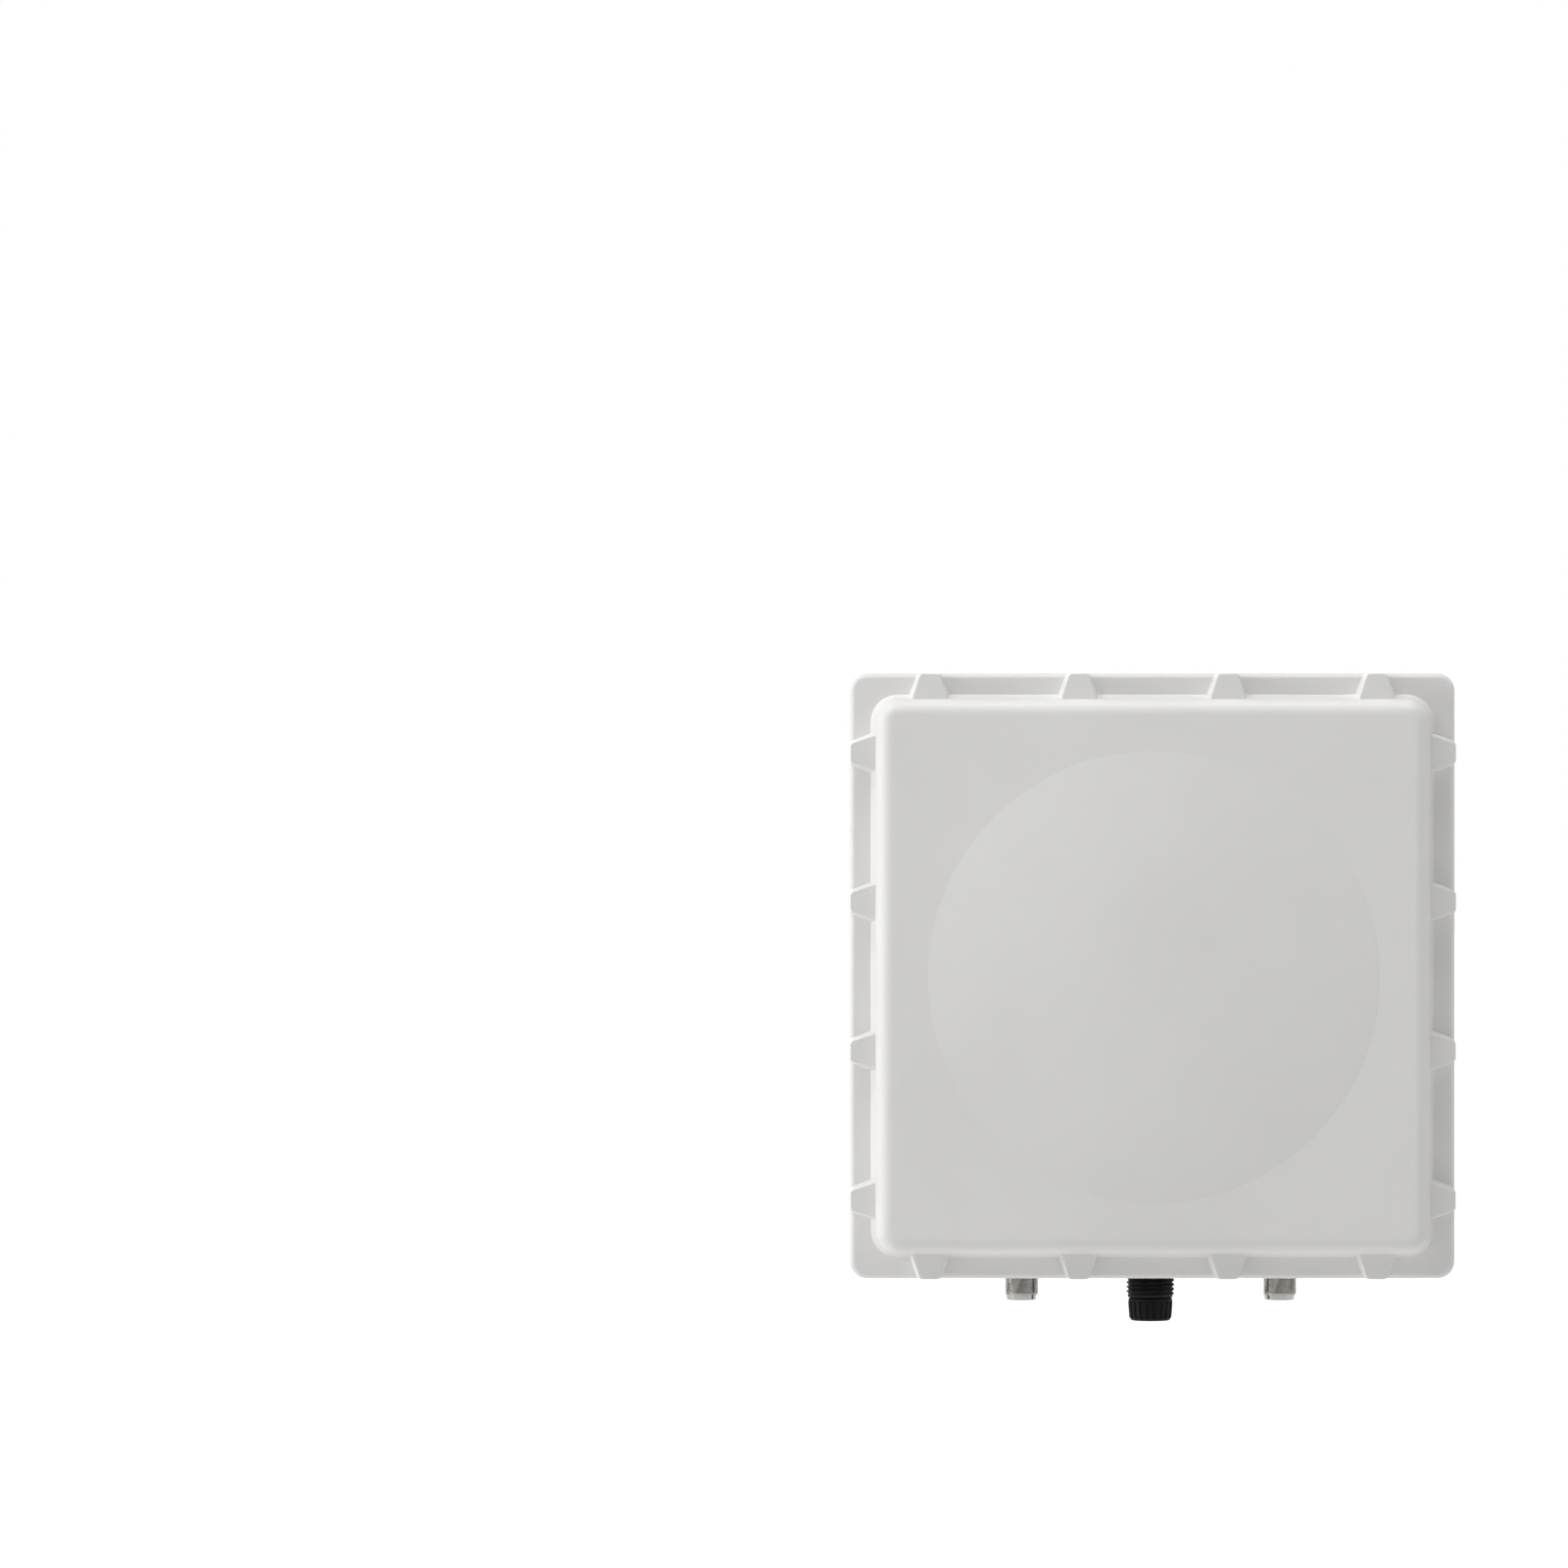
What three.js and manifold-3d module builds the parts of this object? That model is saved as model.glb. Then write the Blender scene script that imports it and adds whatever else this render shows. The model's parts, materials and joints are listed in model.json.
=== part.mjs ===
// Outdoor wireless bridge: a square radio with an integrated flat antenna, on a tilting mast bracket.
// Millimetres. +X is right, +Z is up and the front face looks along -Y.
// The origin lies on the mast's axis, level with the centre of the square plate.
import * as THREE from 'three'
import { mergeVertices } from 'three/addons/utils/BufferGeometryUtils.js'
import Module from 'manifold-3d'

const wasm = await Module()
wasm.setup()

// ---- Driving dimensions ------------------------------------------------------------------------

const GAP = 0.3 // clearance left between pieces that touch
const PLATE_SIDE = 280 // square flange all round the unit
const PLATE_CORNER = 8
const PARTING_Y = -160 // where the front cover meets the rear housing

const COVER_FLANGE = 4 // front cover: flange, raised body, shallow round dome
const COVER_SIDE = 260
const COVER_CORNER = 12.5
const COVER_RISE = 20
const COVER_WALL = 3
const COVER_DRAFT = 2 // how far the side walls lean in over their height
const COVER_FILLET = 7.2
const DOME_DIAMETER = 209
const DOME_RISE = 4.5

const RIB_OFFSETS = [-103.2, -34.4, 34.4, 103.2] // along each side of the plate
const RIB_HEIGHT = 12.5
const RIB_ROOT_WIDTH = 16
const RIB_TIP_WIDTH = 6.6
const RIB_TIP_INSET = 0.1 // from the rib's tip to the plate's edge
const RIB_TIP_CHAMFER = 1.6
const SCREW_LINE = 135.4 // cover screws' distance from the plate's centre
const SCREW_RADIUS = 1.75
const SCREW_LENGTH = 16
const SCREW_HEAD_RADIUS = 3.4
const SCREW_HEAD_HEIGHT = 2.4

const HOUSING_FLANGE = 5 // rear housing: flange, tub, fins and bracket pads
const TUB_SIDE = 262
const TUB_CORNER = 13
const TUB_WALL = 5
const TUB_BACK_Y = -119
const TUB_FLOOR = 4
const FIN_HEIGHT = 8
const FIN_WIDTH = 2.6
const FIN_PITCH = 12
const FIN_REACH = 122 // the fins' ends, above and below the centre
const FIN_SPREAD = 114 // the outermost fins, left and right of it
const PAD_HEIGHT = 10
const PAD_X = 40
const PAD_Z = 35
const PAD_RADIUS = 7

const PORT_Y = -141 // all three ports lie in this plane
const PORT_X = 60
const RF_THREAD_RADIUS = 15.875 / 2
const RF_END_Z = -150.9
const GLAND_THREAD_RADIUS = 11.2
const GLAND_THREAD_END_Z = -149.8
const GLAND_END_Z = -160.6

const PIVOT_Y = -75 // tilt axis, parallel to X
const SLOT_RADIUS = 30 // lock bolts run in arc slots round the tilt axis
const TILT_SWEEP = 31 // half of each slot's angle, in degrees
const SHEET = 3 // thickness of both brackets
const UNIT_BRACKET_HALF = 55
const MAST_RADIUS = 30
const U_BOLT_Z = 30
const BOLT_RADIUS = 4 // M8
const HEX_8 = 6.5 // half of the M8 nut's width across flats

// Planes that follow from the dimensions above.
const COVER_BACK_Y = PARTING_Y - GAP
const COVER_FLANGE_Y = COVER_BACK_Y - COVER_FLANGE
const COVER_FACE_Y = COVER_FLANGE_Y - COVER_RISE
const FLANGE_BACK_Y = PARTING_Y + HOUSING_FLANGE
const TUB_HALF = TUB_SIDE / 2
const CAVITY_HALF = TUB_HALF - TUB_WALL
const FLOOR_Y = TUB_BACK_Y - TUB_FLOOR
const PAD_Y = TUB_BACK_Y + PAD_HEIGHT
const PORT_WALL_Z = -TUB_HALF
const BRACKET_BACK_Y = PAD_Y + GAP + SHEET
const MAST_EAR_X = UNIT_BRACKET_HALF - SHEET - GAP
const WEB_FRONT_Y = -40
const WEB_BACK_Y = WEB_FRONT_Y + SHEET

// ---- Solids ------------------------------------------------------------------------------------

// Shared vertices merged and collapsed triangles dropped, so that the surface is closed.
function welded(geometry) {
  const bare = geometry.clone()
  bare.deleteAttribute('normal')
  bare.deleteAttribute('uv')
  const merged = mergeVertices(bare, 1e-4)
  const corners = merged.index.array
  const kept = []
  for (let i = 0; i < corners.length; i += 3) {
    const [a, b, c] = [corners[i], corners[i + 1], corners[i + 2]]
    if (a !== b && b !== c && c !== a) kept.push(a, b, c)
  }
  merged.setIndex(kept)
  return merged
}

function solid(geometry) {
  const closed = welded(geometry)
  return new wasm.Manifold(
    new wasm.Mesh({
      numProp: 3,
      vertProperties: new Float32Array(closed.attributes.position.array),
      triVerts: new Uint32Array(closed.index.array),
    }),
  )
}

function geometryOf(body) {
  const mesh = body.getMesh()
  const geometry = new THREE.BufferGeometry()
  geometry.setAttribute('position', new THREE.BufferAttribute(new Float32Array(mesh.vertProperties), 3))
  geometry.setIndex(new THREE.BufferAttribute(new Uint32Array(mesh.triVerts), 1))
  const flat = geometry.toNonIndexed()
  flat.computeVertexNormals()
  return flat
}

const joined = (pieces) => pieces.slice(1).reduce((sum, piece) => sum.add(piece), pieces[0])
const less = (body, cuts) => cuts.reduce((left, cut) => left.subtract(cut), body)

// A shape drawn in X and Z, standing from y = back towards the front by depth.
function slab(shape, back, depth, curveSegments = 3) {
  const geometry = new THREE.ExtrudeGeometry(shape, { depth, bevelEnabled: false, curveSegments })
  return solid(geometry.rotateX(Math.PI / 2).translate(0, back, 0))
}

// A shape drawn in Y and Z, from x = left towards the right by depth.
function sidePlate(shape, left, depth, curveSegments = 5) {
  const geometry = new THREE.ExtrudeGeometry(shape, { depth, bevelEnabled: false, curveSegments })
  const toSide = new THREE.Matrix4().makeBasis(
    new THREE.Vector3(0, 1, 0),
    new THREE.Vector3(0, 0, 1),
    new THREE.Vector3(1, 0, 0),
  )
  return solid(geometry.applyMatrix4(toSide).translate(left, 0, 0))
}

// A block between two corners.
function block(low, high) {
  const size = high.map((value, i) => value - low[i])
  const middle = high.map((value, i) => (value + low[i]) / 2)
  return solid(new THREE.BoxGeometry(...size).translate(...middle))
}

const TURN_TO = {
  x: (geometry) => geometry.rotateZ(-Math.PI / 2),
  y: (geometry) => geometry,
  z: (geometry) => geometry.rotateX(Math.PI / 2),
}

// A profile of [radius, position along the axis] points, turned about an axis through centre.
function turned(profile, axis, centre, segments = 20) {
  const points = profile.map(([radius, along]) => new THREE.Vector2(radius, along))
  const rising = THREE.ShapeUtils.area(points) < 0 ? points.reverse() : points
  const geometry = TURN_TO[axis](new THREE.LatheGeometry(rising, segments))
  return solid(geometry.translate(...centre))
}

// A plain round rod or drill between two positions along an axis.
const rod = (radius, from, to, axis, centre, segments = 16) =>
  turned([[0, from], [radius, from], [radius, to], [0, to]], axis, centre, segments)

// A hexagonal prism: half is half its width across flats.
const hexagon = (half, from, to, axis, centre) =>
  rod(half / Math.cos(Math.PI / 6), from, to, axis, centre, 6)

function roundedSquare(half, corner) {
  const shape = new THREE.Shape()
  const inner = half - corner
  shape.absarc(inner, inner, corner, 0, Math.PI / 2)
  shape.absarc(-inner, inner, corner, Math.PI / 2, Math.PI)
  shape.absarc(-inner, -inner, corner, Math.PI, Math.PI * 1.5)
  shape.absarc(inner, -inner, corner, Math.PI * 1.5, Math.PI * 2)
  shape.closePath()
  return shape
}

// A solid through rounded-square rings [y, half side, corner radius], from the back to the front.
function squareLoft(rings, cornerSteps = 5) {
  const perRing = 4 * (cornerSteps + 1)
  const positions = []
  for (const [y, half, corner] of rings) {
    for (let side = 0; side < 4; side++) {
      const middle = Math.PI / 4 + (side * Math.PI) / 2
      const cx = Math.sign(Math.cos(middle)) * (half - corner)
      const cz = Math.sign(Math.sin(middle)) * (half - corner)
      for (let step = 0; step <= cornerSteps; step++) {
        const angle = (side + step / cornerSteps) * (Math.PI / 2)
        positions.push(cx + corner * Math.cos(angle), y, cz + corner * Math.sin(angle))
      }
    }
  }
  const backCentre = positions.length / 3
  positions.push(0, rings[0][0], 0)
  const frontCentre = backCentre + 1
  positions.push(0, rings[rings.length - 1][0], 0)
  const faces = []
  for (let i = 0; i < perRing; i++) {
    const next = (i + 1) % perRing
    faces.push(backCentre, next, i)
    for (let ring = 0; ring < rings.length - 1; ring++) {
      const low = ring * perRing
      const high = low + perRing
      faces.push(low + i, low + next, high + i, high + i, low + next, high + next)
    }
    const last = (rings.length - 1) * perRing
    faces.push(frontCentre, last + i, last + next)
  }
  const geometry = new THREE.BufferGeometry()
  geometry.setAttribute('position', new THREE.Float32BufferAttribute(positions, 3))
  geometry.setIndex(faces)
  return solid(geometry)
}

// A round rod along a curve, with eight sides.
function bentRod(curve, radius, steps) {
  const section = new THREE.Shape()
  section.absarc(0, 0, radius, 0, Math.PI * 2)
  const settings = { steps, extrudePath: curve, curveSegments: 4, bevelEnabled: false }
  return solid(new THREE.ExtrudeGeometry(section, settings))
}

// ---- Assembly ----------------------------------------------------------------------------------

const unit = new THREE.Group()
const PLASTIC = { color: 0xdfdedc, roughness: 0.55, metalness: 0 }
const PAINT = { color: 0xcfcecb, roughness: 0.6, metalness: 0.1 }
const STEEL = { color: 0xb4b6b8, roughness: 0.4, metalness: 0.9 }
const NICKEL = { color: 0xbdb8b0, roughness: 0.25, metalness: 1 }
const GOLD = { color: 0xc9a24a, roughness: 0.3, metalness: 1 }
const ALUMINIUM = { color: 0xc4c6c8, roughness: 0.45, metalness: 0.9 }
const ZINC = { color: 0xa8adb0, roughness: 0.5, metalness: 0.85 }
const BLACK = { color: 0x121212, roughness: 0.5, metalness: 0 }
const RUBBER = { color: 0x1c1c1c, roughness: 0.85, metalness: 0 }
const BOARD = { color: 0x1f5a34, roughness: 0.6, metalness: 0 }
const PAD_GREY = { color: 0x8a96a0, roughness: 0.9, metalness: 0 }
const WHITE = { color: 0xf2f2ee, roughness: 0.5, metalness: 0 }

function place(name, body, look) {
  const mesh = new THREE.Mesh(geometryOf(body), new THREE.MeshStandardMaterial(look))
  mesh.name = name
  unit.add(mesh)
}

// Each side of the plate as a turn about Y, with the four rib positions along it.
const SIDE_TURNS = [0, 90, 180, 270]
const ribPlaces = SIDE_TURNS.flatMap((turn) => RIB_OFFSETS.map((offset) => ({ turn, offset })))
const onSide = (body, turn) => body.rotate([0, turn, 0])

// ---- Front cover -------------------------------------------------------------------------------

// Rings of the raised body: drafted walls, then a quarter-round fillet; inset shrinks the whole form.
function coverRings(inset, back, face) {
  const half = COVER_SIDE / 2 - inset
  const corner = COVER_CORNER - inset
  const fillet = COVER_FILLET - inset
  const rings = [[back, half, corner]]
  const steps = 4
  for (let step = 0; step <= steps; step++) {
    const angle = (step / steps) * (Math.PI / 2)
    const pull = COVER_DRAFT + fillet * (1 - Math.cos(angle))
    rings.push([face + fillet * (1 - Math.sin(angle)), half - pull, Math.max(corner - pull, 1.5)])
  }
  return rings
}

// The shallow spherical cap on the face, sunk a little way into it.
function dome(face, segments, steps) {
  const radius = DOME_DIAMETER / 2
  const sink = 1.2
  const sphere = (radius * radius + DOME_RISE * DOME_RISE) / (2 * DOME_RISE)
  const profile = [[0, face + sink], [radius, face + sink]]
  for (let step = 0; step <= steps; step++) {
    const r = radius * (1 - step / steps)
    profile.push([r, face - DOME_RISE + sphere - Math.sqrt(sphere * sphere - r * r)])
  }
  return turned(profile, 'y', [0, 0, 0], segments)
}

function rib(offset) {
  const root = COVER_SIDE / 2 - 4 // starts inside the body's wall
  const tip = PLATE_SIDE / 2 - RIB_TIP_INSET
  const rootHalf = RIB_ROOT_WIDTH / 2 + 2
  const tipHalf = RIB_TIP_WIDTH / 2
  const shape = new THREE.Shape()
  shape.moveTo(offset - rootHalf, root)
  shape.lineTo(offset + rootHalf, root)
  shape.lineTo(offset + tipHalf, tip - RIB_TIP_CHAMFER)
  shape.lineTo(offset + tipHalf - RIB_TIP_CHAMFER, tip)
  shape.lineTo(offset - tipHalf + RIB_TIP_CHAMFER, tip)
  shape.lineTo(offset - tipHalf, tip - RIB_TIP_CHAMFER)
  shape.closePath()
  return slab(shape, COVER_FLANGE_Y + 1, RIB_HEIGHT + 1)
}

function frontCover() {
  const flange = slab(roundedSquare(PLATE_SIDE / 2, PLATE_CORNER), COVER_BACK_Y, COVER_FLANGE)
  const body = squareLoft(coverRings(0, COVER_FLANGE_Y + 1, COVER_FACE_Y))
  const ribs = ribPlaces.map(({ turn, offset }) => onSide(rib(offset), turn))
  const inside = squareLoft(coverRings(COVER_WALL, COVER_BACK_Y + 1, COVER_FACE_Y + COVER_WALL))
  const holeEnd = FLANGE_BACK_Y - SCREW_LENGTH - 1
  const holes = ribPlaces.map(({ turn, offset }) =>
    onSide(rod(SCREW_RADIUS + GAP, holeEnd, PARTING_Y + 1, 'y', [offset, 0, SCREW_LINE], 8), turn),
  )
  const outside = joined([flange, body, dome(COVER_FACE_Y, 40, 4), ...ribs])
  return less(outside, [inside, dome(COVER_FACE_Y + COVER_WALL, 32, 2), ...holes])
}

place('radome', frontCover(), PLASTIC)

// ---- Rear housing ------------------------------------------------------------------------------

const SEAL_OUTER = 131
const SEAL_INNER = 127.5
const SEAL_DEPTH = 2.5
const SEAL_CORNER = 11

function squareRing(outer, inner, corner, back, depth) {
  const shape = roundedSquare(outer, corner)
  shape.holes.push(roundedSquare(inner, corner - (outer - inner)))
  return slab(shape, back, depth)
}

// Vertical cooling fins, with a clear field in the middle for the bracket.
function fins() {
  const list = []
  const clearX = 60
  const clearZ = 54
  const half = FIN_WIDTH / 2
  const whole = [[-FIN_REACH, FIN_REACH]]
  const broken = [[-FIN_REACH, -clearZ], [clearZ, FIN_REACH]]
  for (let x = -FIN_SPREAD; x <= FIN_SPREAD; x += FIN_PITCH) {
    for (const [low, high] of Math.abs(x) < clearX ? broken : whole) {
      list.push(block([x - half, TUB_BACK_Y - 1, low], [x + half, TUB_BACK_Y + FIN_HEIGHT, high]))
    }
  }
  return list
}

const padPlaces = [[-PAD_X, PAD_Z], [PAD_X, PAD_Z], [-PAD_X, -PAD_Z], [PAD_X, -PAD_Z]]
const TRAY_POST = 112
const BOARD_POST_X = 92
const BOARD_POSTS_Z = [-100, 86]
const BOARD_BACK_Y = -132.9
const TRAY_BACK_Y = -166.5
const TRAY_POST_RADIUS = 5
const BOARD_POST_RADIUS = 4
const GROUND_X = 98
const GROUND_SHANK = 2.4
const VENT_X = -98
const VENT_STEM = 4
const SMALL_STEM_END_Z = -122 // inner ends of the ground screw and the vent
const BRACKET_SCREW_RADIUS = 2.7
const COVER_SCREW_HOLE = 2.2
const BRACKET_SCREW_HOLE = 3.2

function rearHousing() {
  const flange = slab(roundedSquare(PLATE_SIDE / 2, PLATE_CORNER), FLANGE_BACK_Y, HOUSING_FLANGE)
  const tub = slab(roundedSquare(TUB_HALF, TUB_CORNER), TUB_BACK_Y, TUB_BACK_Y - FLANGE_BACK_Y + 1)
  const cavity = slab(roundedSquare(CAVITY_HALF, TUB_CORNER - TUB_WALL), FLOOR_Y, FLOOR_Y - PARTING_Y + 1)
  const groove = squareRing(SEAL_OUTER, SEAL_INNER, SEAL_CORNER, PARTING_Y + SEAL_DEPTH, SEAL_DEPTH + 1)
  const pads = padPlaces.map(([x, z]) => rod(PAD_RADIUS, TUB_BACK_Y - 1, PAD_Y, 'y', [x, 0, z], 16))
  const padHoles = padPlaces.map(([x, z]) =>
    rod(BRACKET_SCREW_HOLE, FLOOR_Y + 2, PAD_Y + 1, 'y', [x, 0, z], 12),
  )
  const screwHoles = ribPlaces.map(({ turn, offset }) =>
    onSide(rod(COVER_SCREW_HOLE, PARTING_Y - 1, FLANGE_BACK_Y + 1, 'y', [offset, 0, SCREW_LINE], 8), turn),
  )
  const posts = []
  for (const x of [-1, 1]) {
    for (const z of [-1, 1]) {
      const centre = [x * TRAY_POST, 0, z * TRAY_POST]
      posts.push(rod(TRAY_POST_RADIUS, TRAY_BACK_Y + GAP, FLOOR_Y + 1, 'y', centre, 10))
    }
    for (const z of BOARD_POSTS_Z) {
      const centre = [x * BOARD_POST_X, 0, z]
      posts.push(rod(BOARD_POST_RADIUS, BOARD_BACK_Y + GAP, FLOOR_Y + 1, 'y', centre, 10))
    }
  }
  const wall = [PORT_WALL_Z - 3, PORT_WALL_Z + TUB_WALL + 1]
  const ports = [
    rod(RF_THREAD_RADIUS + GAP, ...wall, 'z', [-PORT_X, PORT_Y, 0], 20),
    rod(RF_THREAD_RADIUS + GAP, ...wall, 'z', [PORT_X, PORT_Y, 0], 20),
    rod(GLAND_THREAD_RADIUS + GAP, ...wall, 'z', [0, PORT_Y, 0], 24),
    rod(GROUND_SHANK + 0.4, ...wall, 'z', [GROUND_X, PORT_Y, 0], 10),
    rod(VENT_STEM + GAP, ...wall, 'z', [VENT_X, PORT_Y, 0], 10),
  ]
  return less(
    joined([flange, tub, ...fins(), ...pads]).subtract(cavity).add(joined(posts)),
    [groove, ...padHoles, ...screwHoles, ...ports],
  )
}

place('rear_housing', rearHousing(), PAINT)

const sealBack = PARTING_Y + SEAL_DEPTH - GAP
const seal = squareRing(SEAL_OUTER - GAP, SEAL_INNER + GAP, SEAL_CORNER - GAP, sealBack, SEAL_DEPTH - GAP)
place('cover_seal', seal, RUBBER)

// A pan-headed screw along Y, driven from the back: from the shank's tip to the head's crown.
const screwSeat = FLANGE_BACK_Y + GAP
const coverScrew = [
  [0, screwSeat - SCREW_LENGTH],
  [SCREW_RADIUS, screwSeat - SCREW_LENGTH],
  [SCREW_RADIUS, screwSeat],
  [SCREW_HEAD_RADIUS, screwSeat],
  [SCREW_HEAD_RADIUS, screwSeat + SCREW_HEAD_HEIGHT * 0.6],
  [SCREW_HEAD_RADIUS * 0.7, screwSeat + SCREW_HEAD_HEIGHT],
  [0, screwSeat + SCREW_HEAD_HEIGHT],
]

ribPlaces.forEach(({ turn, offset }, index) => {
  const screw = onSide(turned(coverScrew, 'y', [offset, 0, SCREW_LINE], 8), turn)
  place(`cover_screw_${String(index + 1).padStart(2, '0')}`, screw, STEEL)
})

// ---- Antenna and electronics -------------------------------------------------------------------

const TRAY_HALF = 120
const TRAY_CORNER = 6
const TRAY_SHEET = 1.5
const TRAY_RIM_Y = -174.1 // front edge of the tray's rim, which the antenna board lies on
const BOARD_SHEET = 1.6
const trayFloor = slab(roundedSquare(TRAY_HALF, TRAY_CORNER), TRAY_BACK_Y, TRAY_SHEET)
const trayDepth = TRAY_BACK_Y - TRAY_RIM_Y
const trayRim = squareRing(TRAY_HALF, TRAY_HALF - TRAY_SHEET, TRAY_CORNER, TRAY_BACK_Y, trayDepth)
const antennaBoard = slab(roundedSquare(TRAY_HALF + 0.5, TRAY_CORNER), TRAY_RIM_Y - GAP, BOARD_SHEET)
place('antenna_reflector', trayFloor.add(trayRim), ALUMINIUM)
place('antenna_board', antennaBoard, BOARD)

const CAN_HEIGHT = 5
const BOARD_FRONT_Y = BOARD_BACK_Y - BOARD_SHEET
const boardRear = BOARD_BACK_Y + GAP // parts on the board's two faces start here
const boardFront = BOARD_FRONT_Y - GAP
const canTop = boardRear + CAN_HEIGHT
place('radio_board', block([-100, BOARD_FRONT_Y, -112], [100, BOARD_BACK_Y, 95]), BOARD)
place('rf_shield_can', block([-35, boardRear, 0], [35, canTop, 60]), STEEL)
place('thermal_pad', block([-33, canTop + GAP, 2], [33, FLOOR_Y - GAP, 58]), PAD_GREY)
place('modem_shield_can', block([-30, boardFront - CAN_HEIGHT, 10], [30, boardFront, 70]), STEEL)

// An upright modular jack whose mouth faces the gland below it.
const JACK_HEIGHT = 13.4
const JACK_WALL = 3
const jackFront = boardFront - JACK_HEIGHT
const jackCase = block([-8, jackFront, -118], [8, boardFront, -97])
const jackMouth = block([-5.9, jackFront + JACK_WALL, -119], [5.9, boardFront - JACK_WALL, -106])
place('ethernet_jack', jackCase.subtract(jackMouth), STEEL)

// ---- RF ports ----------------------------------------------------------------------------------

const RF_BORE = 4.05 // front bore, down to the insulator
const RF_BORE_END_Z = -132
const RF_REAR_BORE = 2.6
const RF_REAR_RADIUS = 4
const RF_INNER_Z = -108 // rear end of the socket's body, inside the tub
const RF_FLANGE_RADIUS = 10.5 // flange against the wall's inside
const RF_FLANGE_REAR_Z = -122.5
const RF_LIP_RADIUS = 7 // plain lip past the thread's end
const RF_LIP_LENGTH = 2.6
const RF_CONTACT_RADIUS = 1.5
const RF_NUT_HALF = 9.5
const RF_NUT_HEIGHT = 3.4
const WALL_INSIDE_Z = PORT_WALL_Z + TUB_WALL + GAP // where pieces meet the wall from inside
const WALL_OUTSIDE_Z = PORT_WALL_Z - GAP // and from outside

function rfSocket(x) {
  const outside = turned(
    [
      [0, RF_INNER_Z],
      [RF_REAR_RADIUS, RF_INNER_Z],
      [RF_REAR_RADIUS, RF_FLANGE_REAR_Z],
      [RF_FLANGE_RADIUS, RF_FLANGE_REAR_Z],
      [RF_FLANGE_RADIUS, WALL_INSIDE_Z],
      [RF_THREAD_RADIUS, WALL_INSIDE_Z],
      [RF_THREAD_RADIUS, RF_END_Z + RF_LIP_LENGTH],
      [RF_LIP_RADIUS, RF_END_Z + RF_LIP_LENGTH - 0.6],
      [RF_LIP_RADIUS, RF_END_Z + 0.4],
      [RF_LIP_RADIUS - 0.4, RF_END_Z],
      [0, RF_END_Z],
    ],
    'z',
    [x, PORT_Y, 0],
    24,
  )
  const bore = rod(RF_BORE, RF_END_Z - 1, RF_BORE_END_Z, 'z', [x, PORT_Y, 0], 16)
  const rearBore = rod(RF_REAR_BORE, RF_BORE_END_Z - 1, RF_INNER_Z + 1, 'z', [x, PORT_Y, 0], 12)
  return less(outside, [bore, rearBore])
}

function rfInsulator(x) {
  const rear = RF_BORE_END_Z - GAP
  const front = RF_BORE_END_Z - 6
  const ring = rod(RF_BORE - GAP, front, rear, 'z', [x, PORT_Y, 0], 16)
  return ring.subtract(rod(RF_CONTACT_RADIUS + GAP, front - 1, rear + 1, 'z', [x, PORT_Y, 0], 10))
}

function rfNut(x) {
  const front = WALL_OUTSIDE_Z - RF_NUT_HEIGHT
  const nut = hexagon(RF_NUT_HALF, front, WALL_OUTSIDE_Z, 'z', [x, PORT_Y, 0])
  return nut.subtract(rod(RF_THREAD_RADIUS + GAP, front - 1, WALL_OUTSIDE_Z + 1, 'z', [x, PORT_Y, 0], 24))
}

// The coaxial lead from a socket's rear end up to the radio board.
function rfPigtail(side) {
  const x = side * PORT_X
  const inward = side * 15 // the lead's end lies this far towards the middle
  const route = new THREE.CatmullRomCurve3([
    new THREE.Vector3(x, PORT_Y, RF_INNER_Z + GAP),
    new THREE.Vector3(x, PORT_Y, RF_INNER_Z + 12),
    new THREE.Vector3(x - side * 3, PORT_Y - 4, RF_INNER_Z + 28),
    new THREE.Vector3(x - side * 10, PORT_Y - 5, RF_INNER_Z + 46),
    new THREE.Vector3(x - inward, PORT_Y - 3, RF_INNER_Z + 62),
    new THREE.Vector3(x - inward, PORT_Y + 0.5, RF_INNER_Z + 74),
  ])
  const plug = rod(3.2, boardFront - 6, boardFront, 'y', [x - inward, 0, RF_INNER_Z + 76], 12)
  return bentRod(route, 1.4, 12).add(plug)
}

for (const [name, side] of [['left', -1], ['right', 1]]) {
  const x = side * PORT_X
  place(`rf_socket_${name}`, rfSocket(x), NICKEL)
  place(`rf_insulator_${name}`, rfInsulator(x), WHITE)
  const contact = rod(RF_CONTACT_RADIUS, RF_END_Z + 4.9, RF_INNER_Z - 2, 'z', [x, PORT_Y, 0], 12)
  place(`rf_contact_${name}`, contact, GOLD)
  place(`rf_nut_${name}`, rfNut(x), NICKEL)
  place(`rf_pigtail_${name}`, rfPigtail(side), GOLD)
}

// ---- Ethernet port and cable gland -------------------------------------------------------------

const NECK_RADIUS = 8
const NECK_END_Z = -158
const SHELL_BORE = 8.5
const NECK_BORE = 6.5
const SHELL_TOP_Z = -120.5 // inner end, past the lock nut
const SHELL_BORE_END_Z = -148.5
const SHOULDER_RADIUS = 13.5
const SHOULDER = 3
const PLUG_RADIUS = 3.5
const SEAL_BORE = 3.8
const SEAL_TOP_Z = -149.6
const SEAL_END_Z = -158.4
const NUT_TOP_Z = GLAND_THREAD_END_Z - GAP
const NUT_TOP_RADIUS = 9.95
const NUT_END_RADIUS = 9.4
const NUT_MOUTH = 4.75

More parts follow.
